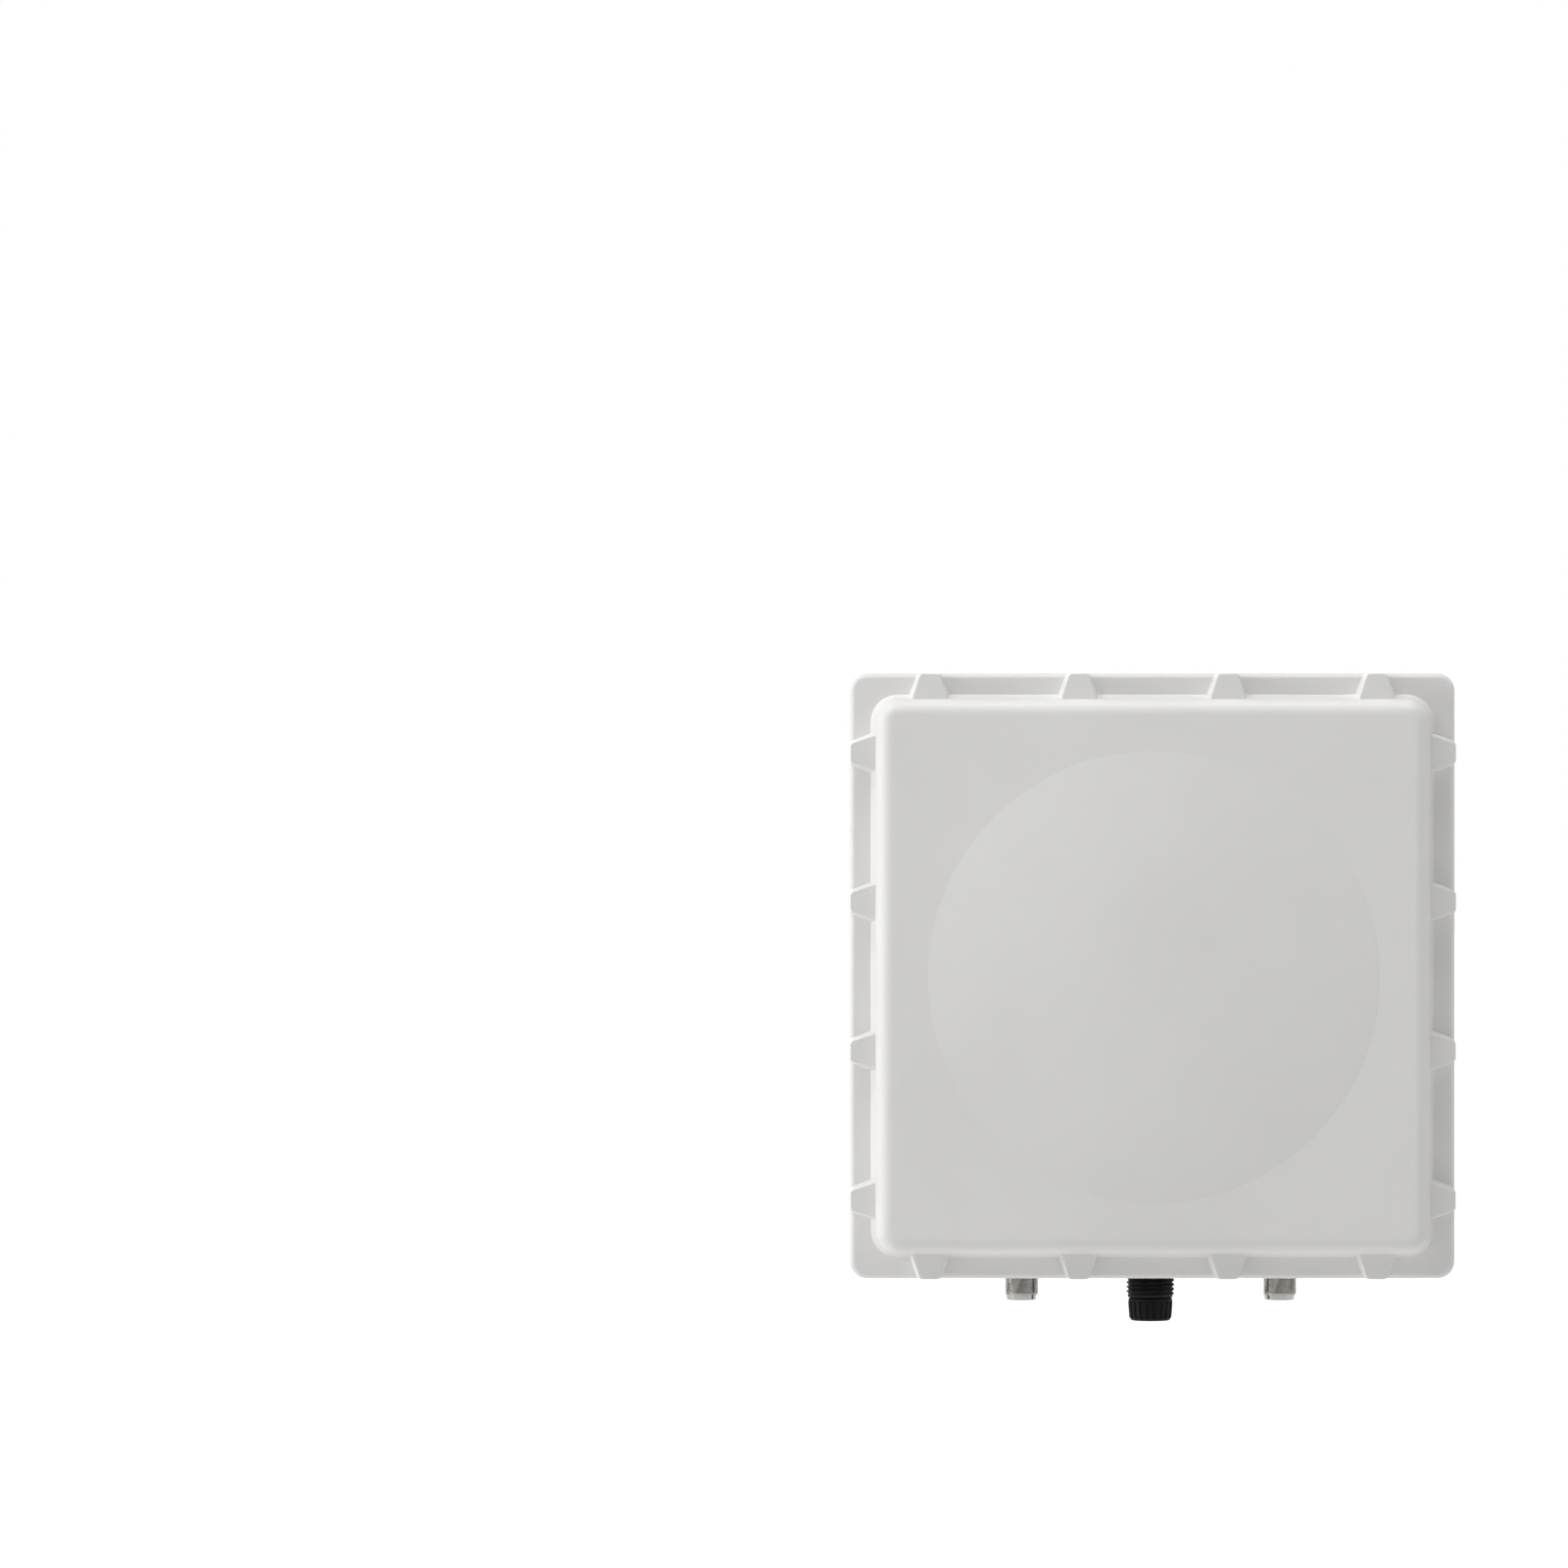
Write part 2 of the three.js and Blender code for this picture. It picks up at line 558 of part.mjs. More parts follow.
const shellOutside = turned(
  [
    [0, SHELL_TOP_Z],
    [GLAND_THREAD_RADIUS, SHELL_TOP_Z],
    [GLAND_THREAD_RADIUS, WALL_OUTSIDE_Z],
    [SHOULDER_RADIUS, WALL_OUTSIDE_Z],
    [SHOULDER_RADIUS, WALL_OUTSIDE_Z - SHOULDER],
    [GLAND_THREAD_RADIUS, WALL_OUTSIDE_Z - SHOULDER],
    [GLAND_THREAD_RADIUS, GLAND_THREAD_END_Z],
    [NECK_RADIUS, GLAND_THREAD_END_Z],
    [NECK_RADIUS, NECK_END_Z],
    [0, NECK_END_Z],
  ],
  'z',
  [0, PORT_Y, 0],
  28,
)
const shellBores = [
  rod(SHELL_BORE, SHELL_BORE_END_Z, SHELL_TOP_Z + 1, 'z', [0, PORT_Y, 0], 20),
  rod(NECK_BORE, NECK_END_Z - 1, SHELL_BORE_END_Z + 0.5, 'z', [0, PORT_Y, 0], 20),
]
place('port_shell', less(shellOutside, shellBores), BLACK)

const lockNutRear = WALL_INSIDE_Z + 4
const lockNut = hexagon(14, WALL_INSIDE_Z, lockNutRear, 'z', [0, PORT_Y, 0])
const lockNutHole = rod(GLAND_THREAD_RADIUS + GAP, WALL_INSIDE_Z - 1, lockNutRear + 1, 'z', [0, PORT_Y, 0], 28)
place('port_lock_nut', lockNut.subtract(lockNutHole), BLACK)

const glandSeal = rod(NECK_BORE - GAP, SEAL_END_Z, SEAL_TOP_Z, 'z', [0, PORT_Y, 0], 20)
const sealHole = rod(SEAL_BORE, SEAL_END_Z - 1, SEAL_TOP_Z + 1, 'z', [0, PORT_Y, 0], 16)
const blankingPlug = rod(PLUG_RADIUS, GLAND_END_Z + 0.5, SEAL_TOP_Z - 1.4, 'z', [0, PORT_Y, 0], 16)
place('gland_seal', glandSeal.subtract(sealHole), RUBBER)
place('blanking_plug', blankingPlug, RUBBER)

const nutOutside = turned(
  [
    [0, NUT_TOP_Z],
    [NUT_TOP_RADIUS, NUT_TOP_Z],
    [NUT_END_RADIUS, GLAND_END_Z + 1.2],
    [NUT_END_RADIUS - 1, GLAND_END_Z],
    [0, GLAND_END_Z],
  ],
  'z',
  [0, PORT_Y, 0],
  28,
)
const nutBores = [
  rod(NECK_RADIUS + GAP, SEAL_END_Z - GAP, NUT_TOP_Z + 1, 'z', [0, PORT_Y, 0], 20),
  rod(NUT_MOUTH, GLAND_END_Z - 1, NECK_END_Z, 'z', [0, PORT_Y, 0], 16),
]
place('gland_nut', less(nutOutside, nutBores), BLACK)

// ---- Ground screw and pressure vent on the tub's lower wall ------------------------------------

const WASHER = 1.5
const GROUND_HEAD = 3.5
const washerFace = WALL_OUTSIDE_Z - WASHER
const groundAt = [GROUND_X, PORT_Y, 0]
const groundHead = hexagon(4, washerFace - GROUND_HEAD, washerFace, 'z', groundAt)
const groundWasher = rod(5.5, washerFace, WALL_OUTSIDE_Z, 'z', groundAt, 16)
const groundShank = rod(GROUND_SHANK, washerFace - 0.5, SMALL_STEM_END_Z, 'z', groundAt, 10)
place('ground_screw', joined([groundHead, groundWasher, groundShank]), ZINC)

const ventCap = rod(7, WALL_OUTSIDE_Z - 4.5, WALL_OUTSIDE_Z, 'z', [VENT_X, PORT_Y, 0], 18)
const ventStem = rod(VENT_STEM, WALL_OUTSIDE_Z - 1, SMALL_STEM_END_Z, 'z', [VENT_X, PORT_Y, 0], 12)
place('pressure_vent', ventCap.add(ventStem), BLACK)

// ---- Unit bracket ------------------------------------------------------------------------------

const radians = (degrees) => (degrees * Math.PI) / 180

// An arc slot of the lock bolts, in Y and Z, centred straight below the tilt axis.
function arcSlot(halfWidth) {
  const from = radians(-90 - TILT_SWEEP)
  const to = radians(-90 + TILT_SWEEP)
  const endOf = (angle) => [PIVOT_Y + SLOT_RADIUS * Math.cos(angle), SLOT_RADIUS * Math.sin(angle)]
  const slot = new THREE.Shape()
  slot.absarc(PIVOT_Y, 0, SLOT_RADIUS + halfWidth, from, to)
  slot.absarc(...endOf(to), halfWidth, to, to + Math.PI)
  slot.absarc(PIVOT_Y, 0, SLOT_RADIUS - halfWidth, to, from, true)
  slot.absarc(...endOf(from), halfWidth, from + Math.PI, from + Math.PI * 2)
  slot.closePath()
  return slot
}

// An ear of the unit's bracket: round the pivot, and fanned out round the lock bolt's slot.
function unitEar() {
  const fan = SLOT_RADIUS + 13
  const spread = 42 // half of the fan's angle, in degrees
  const ear = new THREE.Shape()
  ear.moveTo(PAD_Y + GAP, 36)
  ear.lineTo(PAD_Y + GAP, -44)
  ear.absarc(PIVOT_Y, 0, fan, radians(-90 - spread + 8), radians(-90 + spread))
  ear.absarc(PIVOT_Y, 0, 15, radians(-20), radians(100))
  ear.closePath()
  return ear
}

const BASE_HALF_Z = 48
const BRACKET_SCREW_HEAD = 4

function unitBracket() {
  const left = -UNIT_BRACKET_HALF
  const right = UNIT_BRACKET_HALF
  const base = block([left, PAD_Y + GAP, -BASE_HALF_Z], [right, BRACKET_BACK_Y, BASE_HALF_Z])
  const ears = [left, right - SHEET].map((x) => sidePlate(unitEar(), x, SHEET))
  const slots = [left - 1, right - SHEET - 1].map((x) => sidePlate(arcSlot(BOLT_RADIUS + 0.4), x, SHEET + 2))
  const pivot = rod(BOLT_RADIUS + 0.4, left - 1, right + 1, 'x', [0, PIVOT_Y, 0], 16)
  const screwHoles = padPlaces.map(([x, z]) =>
    rod(BRACKET_SCREW_HOLE + 0.1, PAD_Y - 1, BRACKET_BACK_Y + 1, 'y', [x, 0, z], 12),
  )
  return less(joined([base, ...ears]), [...slots, pivot, ...screwHoles])
}

place('unit_bracket', unitBracket(), ZINC)

padPlaces.forEach(([x, z], index) => {
  const seat = BRACKET_BACK_Y + GAP
  const shank = rod(BRACKET_SCREW_RADIUS, FLOOR_Y + 2.4, seat + 1, 'y', [x, 0, z], 12)
  const head = hexagon(5, seat, seat + BRACKET_SCREW_HEAD, 'y', [x, 0, z])
  place(`bracket_screw_${index + 1}`, head.add(shank), STEEL)
})

// ---- Mast bracket ------------------------------------------------------------------------------

const LOCK_Z = -SLOT_RADIUS
const WEB_HALF_Z = 52
const SADDLE_HALF_X = 44
const SADDLE_BACK_Y = -12
const WELD_NUT = 6

// An ear of the mast's bracket: round the pivot above and round the lock bolt's nut below.
function mastEar() {
  const ear = new THREE.Shape()
  ear.moveTo(WEB_BACK_Y, -46)
  ear.lineTo(WEB_BACK_Y, 40)
  ear.absarc(PIVOT_Y, 0, 14, radians(80), radians(180))
  ear.absarc(PIVOT_Y, LOCK_Z, 12, radians(190), radians(275))
  ear.closePath()
  return ear
}

// A plate with a V notch that the mast sits in: its sides touch the mast at 30 degrees off centre.
function saddlePlate(z) {
  const apex = -MAST_RADIUS / Math.sin(radians(60)) - 0.4
  const mouth = (SADDLE_BACK_Y - apex) * Math.tan(radians(60))
  const outline = new THREE.Shape()
  outline.moveTo(-SADDLE_HALF_X, WEB_FRONT_Y + 1)
  outline.lineTo(SADDLE_HALF_X, WEB_FRONT_Y + 1)
  outline.lineTo(SADDLE_HALF_X, SADDLE_BACK_Y)
  outline.lineTo(mouth, SADDLE_BACK_Y)
  outline.lineTo(0, apex)
  outline.lineTo(-mouth, SADDLE_BACK_Y)
  outline.lineTo(-SADDLE_HALF_X, SADDLE_BACK_Y)
  outline.closePath()
  return solid(new THREE.ExtrudeGeometry(outline, { depth: SHEET, bevelEnabled: false }).translate(0, 0, z))
}

function mastBracket() {
  const web = block([-MAST_EAR_X, WEB_FRONT_Y, -WEB_HALF_Z], [MAST_EAR_X, WEB_BACK_Y, WEB_HALF_Z])
  const ears = [-MAST_EAR_X, MAST_EAR_X - SHEET].map((x) => sidePlate(mastEar(), x, SHEET))
  const saddles = [-WEB_HALF_Z, WEB_HALF_Z - SHEET].map(saddlePlate)
  const weldNuts = [-1, 1].map((side) => {
    const inner = side * (MAST_EAR_X - SHEET - WELD_NUT)
    const outer = side * (MAST_EAR_X - 1)
    return hexagon(HEX_8, Math.min(inner, outer), Math.max(inner, outer), 'x', [0, PIVOT_Y, LOCK_Z])
  })
  const holes = [
    rod(BOLT_RADIUS + 0.4, -MAST_EAR_X - 1, MAST_EAR_X + 1, 'x', [0, PIVOT_Y, 0], 16),
    rod(BOLT_RADIUS + 0.4, -MAST_EAR_X - 1, MAST_EAR_X + 1, 'x', [0, PIVOT_Y, LOCK_Z], 16),
  ]
  for (const x of [-1, 1]) {
    for (const z of [-1, 1]) {
      const legX = x * (MAST_RADIUS + BOLT_RADIUS)
      holes.push(rod(BOLT_RADIUS + 0.5, WEB_FRONT_Y - 1, WEB_BACK_Y + 1, 'y', [legX, 0, z * U_BOLT_Z], 16))
    }
  }
  return less(joined([web, ...ears, ...saddles, ...weldNuts]), holes)
}

place('mast_bracket', mastBracket(), ZINC)

// ---- Bolts of the mast side --------------------------------------------------------------------

const HEAD_8 = 5.3 // height of an M8 hexagon head
const NUT_8 = 6.5
const PIVOT_BOLT_END_X = 66
const LOCK_BOLT_END_X = 43
const U_BOLT_LEG_END_Y = -58

const headSeat = UNIT_BRACKET_HALF + GAP
const pivotShank = rod(BOLT_RADIUS, -headSeat - 1, PIVOT_BOLT_END_X, 'x', [0, PIVOT_Y, 0], 12)
const pivotHead = hexagon(HEX_8, -headSeat - HEAD_8, -headSeat, 'x', [0, PIVOT_Y, 0])
place('pivot_bolt', pivotShank.add(pivotHead), STEEL)

const nutHole = BOLT_RADIUS + GAP
const pivotNut = hexagon(HEX_8, headSeat, headSeat + NUT_8, 'x', [0, PIVOT_Y, 0])
const pivotNutHole = rod(nutHole, headSeat - 1, headSeat + NUT_8 + 1, 'x', [0, PIVOT_Y, 0], 16)
place('pivot_nut', pivotNut.subtract(pivotNutHole), STEEL)

function lockBolt(side) {
  const tip = side * LOCK_BOLT_END_X
  const seat = side * headSeat
  const crown = side * (headSeat + HEAD_8)
  const span = (a, b) => [Math.min(a, b), Math.max(a, b)]
  const centre = [0, PIVOT_Y, LOCK_Z]
  const head = hexagon(HEX_8, ...span(seat, crown), 'x', centre)
  return head.add(rod(BOLT_RADIUS, ...span(tip, seat + side), 'x', centre, 12))
}

place('lock_bolt_left', lockBolt(-1), STEEL)
place('lock_bolt_right', lockBolt(1), STEEL)

function uBolt(z) {
  const bow = MAST_RADIUS + BOLT_RADIUS
  const path = new THREE.CurvePath()
  path.add(new THREE.LineCurve3(new THREE.Vector3(bow, U_BOLT_LEG_END_Y, z), new THREE.Vector3(bow, 0, z)))
  const arcPoints = []
  const arcSteps = 8
  for (let step = 0; step <= arcSteps; step++) {
    const angle = (step / arcSteps) * Math.PI
    arcPoints.push(new THREE.Vector3(bow * Math.cos(angle), bow * Math.sin(angle), z))
  }
  for (let step = 0; step < arcSteps; step++) {
    path.add(new THREE.LineCurve3(arcPoints[step], arcPoints[step + 1]))
  }
  path.add(new THREE.LineCurve3(new THREE.Vector3(-bow, 0, z), new THREE.Vector3(-bow, U_BOLT_LEG_END_Y, z)))
  return bentRod(path, BOLT_RADIUS, 26)
}

place('u_bolt_upper', uBolt(U_BOLT_Z), STEEL)
place('u_bolt_lower', uBolt(-U_BOLT_Z), STEEL)

let nutNumber = 0
for (const z of [U_BOLT_Z, -U_BOLT_Z]) {
  for (const side of [-1, 1]) {
    const centre = [side * (MAST_RADIUS + BOLT_RADIUS), 0, z]
    const seat = WEB_FRONT_Y - GAP
    const nut = hexagon(HEX_8, seat - NUT_8, seat, 'y', centre)
    nutNumber += 1
    const drilled = nut.subtract(rod(BOLT_RADIUS + 0.5, seat - NUT_8 - 1, seat + 1, 'y', centre, 16))
    place(`u_bolt_nut_${nutNumber}`, drilled, STEEL)
  }
}

export default unit
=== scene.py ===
import json
import math

import bmesh
import bpy
import numpy as np
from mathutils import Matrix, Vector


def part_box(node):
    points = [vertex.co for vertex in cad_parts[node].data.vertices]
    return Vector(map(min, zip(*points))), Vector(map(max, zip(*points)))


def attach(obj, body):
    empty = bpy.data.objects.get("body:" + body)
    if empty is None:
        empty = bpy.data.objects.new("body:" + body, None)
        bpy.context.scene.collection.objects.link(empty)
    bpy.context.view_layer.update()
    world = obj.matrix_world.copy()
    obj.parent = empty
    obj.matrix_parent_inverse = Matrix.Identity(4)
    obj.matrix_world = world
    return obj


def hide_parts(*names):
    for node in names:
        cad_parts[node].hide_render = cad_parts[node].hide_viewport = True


# Outdoor wireless bridge: detailed pieces around the CAD frame. Lengths are in millimetres until mesh_of.
# Only the lights, the camera's clip distance and the floor's glow are given in metres.
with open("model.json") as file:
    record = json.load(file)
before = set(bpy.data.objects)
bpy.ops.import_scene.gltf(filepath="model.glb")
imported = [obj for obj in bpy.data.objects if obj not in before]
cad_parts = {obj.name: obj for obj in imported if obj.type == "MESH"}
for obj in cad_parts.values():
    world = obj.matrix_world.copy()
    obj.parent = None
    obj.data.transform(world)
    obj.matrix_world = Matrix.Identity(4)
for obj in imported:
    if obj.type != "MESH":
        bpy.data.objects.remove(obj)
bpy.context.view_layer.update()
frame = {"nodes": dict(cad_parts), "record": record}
MM = 0.001
TURN = 2 * math.pi
UNIT = "radio_unit"
MAST = "mast_side"
CORE = "gland_core"
RING = "gland_ring"
GAP = 0.3  # clearance between touching pieces, as in the CAD


def edges(node):
    """The lowest and highest corners of a CAD node, in millimetres."""
    return [[value / MM for value in corner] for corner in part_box(node)]


# ---- Camera and light ----

PLATE_THICKNESS = 4
VIEW_WIDTH = 725.6  # what the picture's width spans at the square plate
VIEW_DISTANCE = 4500
VIEW_LEFT = 170.4  # the camera's axis passes this far left of the plate's centre
VIEW_ABOVE = 88.9  # and this far above it
SENSOR = 36
CLIP_END = 200
BACKDROP = 1.0  # strength of the white behind the object
FILL = 0.2  # strength of the even light from all round
FILL_TINT = (0.99, 0.995, 1, 1)
LIGHT_TARGET = (0, -0.15, 0)
LIGHTS = [  # name, place, size, power
    ("key", (-1.6, -0.8, 2.4), (1.0, 1.0), 25),
    ("top", (0.2, -0.6, 2.6), (2.0, 1.4), 39),
    ("left", (-2.6, -0.7, 0.5), (1.2, 1.2), 34),
    ("right", (2.4, -1.0, 0.6), (1.4, 1.4), 8),
    ("rear", (-0.9, 2.8, 0.9), (2.0, 1.6), 24),
]


def aim(obj, place, target):
    """Puts a light at a place, looking at a target, both in metres."""
    direction = np.array(target) - np.array(place)
    flat = math.hypot(direction[0], direction[1])
    obj.location = place
    obj.rotation_euler = (math.atan2(flat, -direction[2]), 0, math.atan2(-direction[0], direction[1]))


def area_light(name, place, size, power):
    data = bpy.data.lights.new(name, "AREA")
    data.shape = "RECTANGLE"
    data.size, data.size_y = size
    data.energy = power
    lamp = bpy.data.objects.new(name, data)
    bpy.context.scene.collection.objects.link(lamp)
    aim(lamp, place, LIGHT_TARGET)


def make_camera():
    plate_front = edges("radome")[1][1] - PLATE_THICKNESS
    data = bpy.data.cameras.new("camera")
    data.sensor_width = SENSOR
    data.lens = SENSOR * VIEW_DISTANCE / VIEW_WIDTH
    data.clip_end = CLIP_END
    camera = bpy.data.objects.new("camera", data)
    camera.location = (-VIEW_LEFT * MM, (plate_front - VIEW_DISTANCE) * MM, VIEW_ABOVE * MM)
    camera.rotation_euler = (math.pi / 2, 0, 0)
    bpy.context.scene.collection.objects.link(camera)
    bpy.context.scene.camera = camera


def make_world():
    """Even soft light, and plain white where the camera looks past the object."""
    world = bpy.data.worlds.new("studio")
    bpy.context.scene.world = world
    world.use_nodes = True
    nodes, links = world.node_tree.nodes, world.node_tree.links
    nodes.clear()
    output = nodes.new("ShaderNodeOutputWorld")
    mix = nodes.new("ShaderNodeMixShader")
    seen = nodes.new("ShaderNodeBackground")
    seen.inputs["Strength"].default_value = BACKDROP
    seen.inputs["Color"].default_value = (1, 1, 1, 1)
    fill = nodes.new("ShaderNodeBackground")
    fill.inputs["Strength"].default_value = FILL
    fill.inputs["Color"].default_value = FILL_TINT
    path = nodes.new("ShaderNodeLightPath")
    links.new(path.outputs["Is Camera Ray"], mix.inputs[0])
    links.new(fill.outputs[0], mix.inputs[1])
    links.new(seen.outputs[0], mix.inputs[2])
    links.new(mix.outputs[0], output.inputs[0])


make_camera()
make_world()
for light in LIGHTS:
    area_light(*light)
bpy.context.scene.view_settings.view_transform = "Standard"

# ---- Mesh helpers ----

MERGE = 1e-7  # points nearer than this, in metres, become one
SLIVER = 1e-8
SHARP = math.radians(32)  # corners sharper than this stay crisp on most pieces
SHARP_ROUND = math.radians(40)  # and on threaded ones
EDGE_ANGLE = math.radians(40)  # soften rounds edges sharper than this
EDGE_SEGMENTS = 2
RIDGE_TOP = 1.35  # over 1, so that a screw thread's crest is flat
RIDGE_SLOPE = 1.9
HEX_FACE = 0.94  # a hexagon head's flat face against its half width
HEX_STEPS = (0.75, 0.3)  # where its chamfer starts and ends, against the chamfer's depth
NUT_CHAMFER = (0.7, 0.3)
ARC_STEPS = 5  # rings of a small rounded edge


def mesh_of(name, vertices, faces):
    """An object from millimetre vertices, closed, with its faces turned outwards."""
    mesh = bpy.data.meshes.new(name)
    mesh.from_pydata((np.asarray(vertices, float) * MM).tolist(), [], faces)
    shape = bmesh.new()
    shape.from_mesh(mesh)
    bmesh.ops.remove_doubles(shape, verts=shape.verts, dist=MERGE)
    bmesh.ops.dissolve_degenerate(shape, edges=shape.edges, dist=SLIVER)
    bmesh.ops.recalc_face_normals(shape, faces=shape.faces)
    shape.to_mesh(mesh)
    shape.free()
    obj = bpy.data.objects.new(name, mesh)
    bpy.context.scene.collection.objects.link(obj)
    return obj


def settle(obj):
    """Applies the object's modifiers to its mesh."""
    graph = bpy.context.evaluated_depsgraph_get()
    mesh = bpy.data.meshes.new_from_object(obj.evaluated_get(graph))
    obj.modifiers.clear()
    old = obj.data
    obj.data = mesh
    bpy.data.meshes.remove(old)
    return obj


def boolean(base, other, operation):
    """Joins or cuts base with another object, which is used up."""
    modifier = base.modifiers.new(operation, "BOOLEAN")
    modifier.object = other
    modifier.operation = operation
    modifier.solver = "MANIFOLD"
    settle(base)
    old = other.data
    bpy.data.objects.remove(other)
    bpy.data.meshes.remove(old)
    return base


def join(base, *others):
    for other in others:
        boolean(base, other, "UNION")
    return base


def cut(base, *others):
    for other in others:
        boolean(base, other, "DIFFERENCE")
    return base


def intersect(base, other):
    return boolean(base, other, "INTERSECT")


def gathered(name, objects):
    """Several separate closed meshes as one object."""
    vertices, faces = [], []
    for obj in objects:
        start = len(vertices)
        vertices += [np.array(vertex.co) / MM for vertex in obj.data.vertices]
        faces += [[start + index for index in polygon.vertices] for polygon in obj.data.polygons]
        old = obj.data
        bpy.data.objects.remove(obj)
        bpy.data.meshes.remove(old)
    return mesh_of(name, vertices, faces)


def soften(obj, width):
    """Rounds the sharp edges."""
    modifier = obj.modifiers.new("edges", "BEVEL")
    modifier.width = width * MM
    modifier.segments = EDGE_SEGMENTS
    modifier.limit_method = "ANGLE"
    modifier.angle_limit = EDGE_ANGLE
    modifier.use_clamp_overlap = True
    return settle(obj)


def shade(obj, angle=SHARP):
    """Smooth shading that keeps corners sharper than angle, and flat faces flat."""
    mesh = obj.data
    mesh.polygons.foreach_set("use_smooth", [True] * len(mesh.polygons))
    mesh.set_sharp_from_angle(angle=angle)
    modifier = obj.modifiers.new("flat_faces", "WEIGHTED_NORMAL")
    modifier.keep_sharp = True
    return obj


AXES = {"x": (1, 2, 0), "y": (2, 0, 1), "z": (0, 1, 2)}  # rows of the two cross directions, then the axis


def spin(name, profile, axis, centre, segments=64):
    """A turned solid from [radius, along] pairs. A radius may be a function of angle and along."""
    first, second, main = AXES[axis]
    angles = np.arange(segments) / segments * TURN
    vertices, faces = [], []
    rings = profile[1:-1] if profile[0][0] == 0 else profile
    for radius, along in rings:
        reach = radius(angles, along) if callable(radius) else np.full(segments, float(radius))
        ring = np.zeros((segments, 3))
        ring[:, first] = reach * np.cos(angles)
        ring[:, second] = reach * np.sin(angles)
        ring[:, main] = along
        vertices += list(ring + np.array(centre, float))
    for row in range(len(rings) - 1):
        for i in range(segments):
            j = (i + 1) % segments
            low, high = row * segments, (row + 1) * segments
            faces.append((low + i, low + j, high + j, high + i))
    if profile[0][0] == 0:
        for end, row in ((0, 0), (-1, len(rings) - 1)):
            tip = np.array(centre, float)
            tip[main] += profile[end][1]
            vertices.append(tip)
            for i in range(segments):
                faces.append((len(vertices) - 1, row * segments + i, row * segments + (i + 1) % segments))
    else:
        low = (len(rings) - 1) * segments
        for i in range(segments):
            j = (i + 1) % segments
            faces.append((low + i, low + j, j, i))
    return mesh_of(name, vertices, faces)


def drill(radius, start, end, axis, centre, segments=40):
    return spin("drill", [(0, start), (radius, start), (radius, end), (0, end)], axis, centre, segments)


def hexagon(half):
    """Radius of a hexagon with that half width across flats."""
    def radius(angles, along):
        return half / np.cos((angles + TURN / 12) % (TURN / 6) - TURN / 12)
    return radius


def capped(outline, limit):
    """An outline's radius, but never over a round limit: the chamfer of a nut or bolt head."""
    return lambda angles, along: np.minimum(outline(angles, along), limit)


def hex_head(half, base, crown, chamfer=0.9):
    """Profile of a chamfered hexagon head from its seat to its crown, without end points."""
    shape = hexagon(half)
    corner = half / math.cos(TURN / 12)
    depth = chamfer if crown > base else -chamfer
    start, end = HEX_STEPS
    return [
        (capped(shape, corner), base),
        (capped(shape, corner), crown - depth * start),
        (capped(shape, (corner + half) / 2), crown - depth * end),
        (half * HEX_FACE, crown),
    ]


def thread(root, crest, pitch, start, end):
    """Radius of a right-handed screw thread that fades out at both ends."""
    def radius(angles, along):
        phase = (along / pitch - angles / TURN) % 1
        ridge = np.clip(RIDGE_TOP - np.abs(2 * phase - 1) * RIDGE_SLOPE, 0, 1)
        fade = min(1, abs(along - start) / pitch, abs(along - end) / pitch)
        return root + (crest - root) * ridge * fade
    return radius


def thread_rings(root, crest, pitch, start, end, per_turn=9):
    """The rings of a threaded stretch from start to end."""
    shape = thread(root, crest, pitch, start, end)
    count = max(4, int(abs(end - start) / pitch * per_turn))
    return [(shape, start + (end - start) * step / count) for step in range(count + 1)]


def rect_ring(y, half_x, half_z, corner, centre, steps):
    points = []
    for side, (sx, sz) in enumerate(((1, 1), (-1, 1), (-1, -1), (1, -1))):
        for step in range(steps + 1):
            angle = (side + step / steps) * TURN / 4
            points.append((
                centre[0] + sx * (half_x - corner) + corner * math.cos(angle),
                y,
                centre[1] + sz * (half_z - corner) + corner * math.sin(angle),
            ))
    return points


def stacked(name, rings):
    """A closed solid through rings of equally many points."""
    count = len(rings[0])
    vertices = [point for ring in rings for point in ring]
    faces = [list(range(count)), list(range((len(rings) - 1) * count, len(rings) * count))]
    for row in range(len(rings) - 1):
        low, high = row * count, (row + 1) * count
        for i in range(count):
            j = (i + 1) % count
            faces.append((low + i, low + j, high + j, high + i))
    return mesh_of(name, vertices, faces)


def loft(name, rings, centre=(0, 0), steps=12):
    """A solid through rounded rectangles (y, half width, half height, corner radius)."""
    return stacked(name, [rect_ring(*ring, centre, steps) for ring in rings])


def square_loft(name, rings, steps=12):
    return loft(name, [(y, half, half, corner) for y, half, corner in rings], steps=steps)


def rounded(points, steps=6):
    """A closed outline from (u, v, radius) corners, each rounded by its radius."""
    outline = []
    for i, (u, v, radius) in enumerate(points):
        here = np.array((u, v), float)
        before = np.array(points[i - 1][:2], float) - here
        after = np.array(points[(i + 1) % len(points)][:2], float) - here
        if radius <= 0:
            outline.append(tuple(here))
            continue
        before /= np.linalg.norm(before)
        after /= np.linalg.norm(after)
        half = math.acos(float(np.clip(before @ after, -1, 1))) / 2
        centre = here + (before + after) / np.linalg.norm(before + after) * radius / math.sin(half)
        start = here + before * radius / math.tan(half) - centre
        end = here + after * radius / math.tan(half) - centre
        begin = math.atan2(start[1], start[0])
        sweep = (math.atan2(end[1], end[0]) - begin + math.pi) % TURN - math.pi
        for step in range(steps + 1):
            angle = begin + sweep * step / steps
            outline.append((centre[0] + radius * math.cos(angle), centre[1] + radius * math.sin(angle)))
    return outline


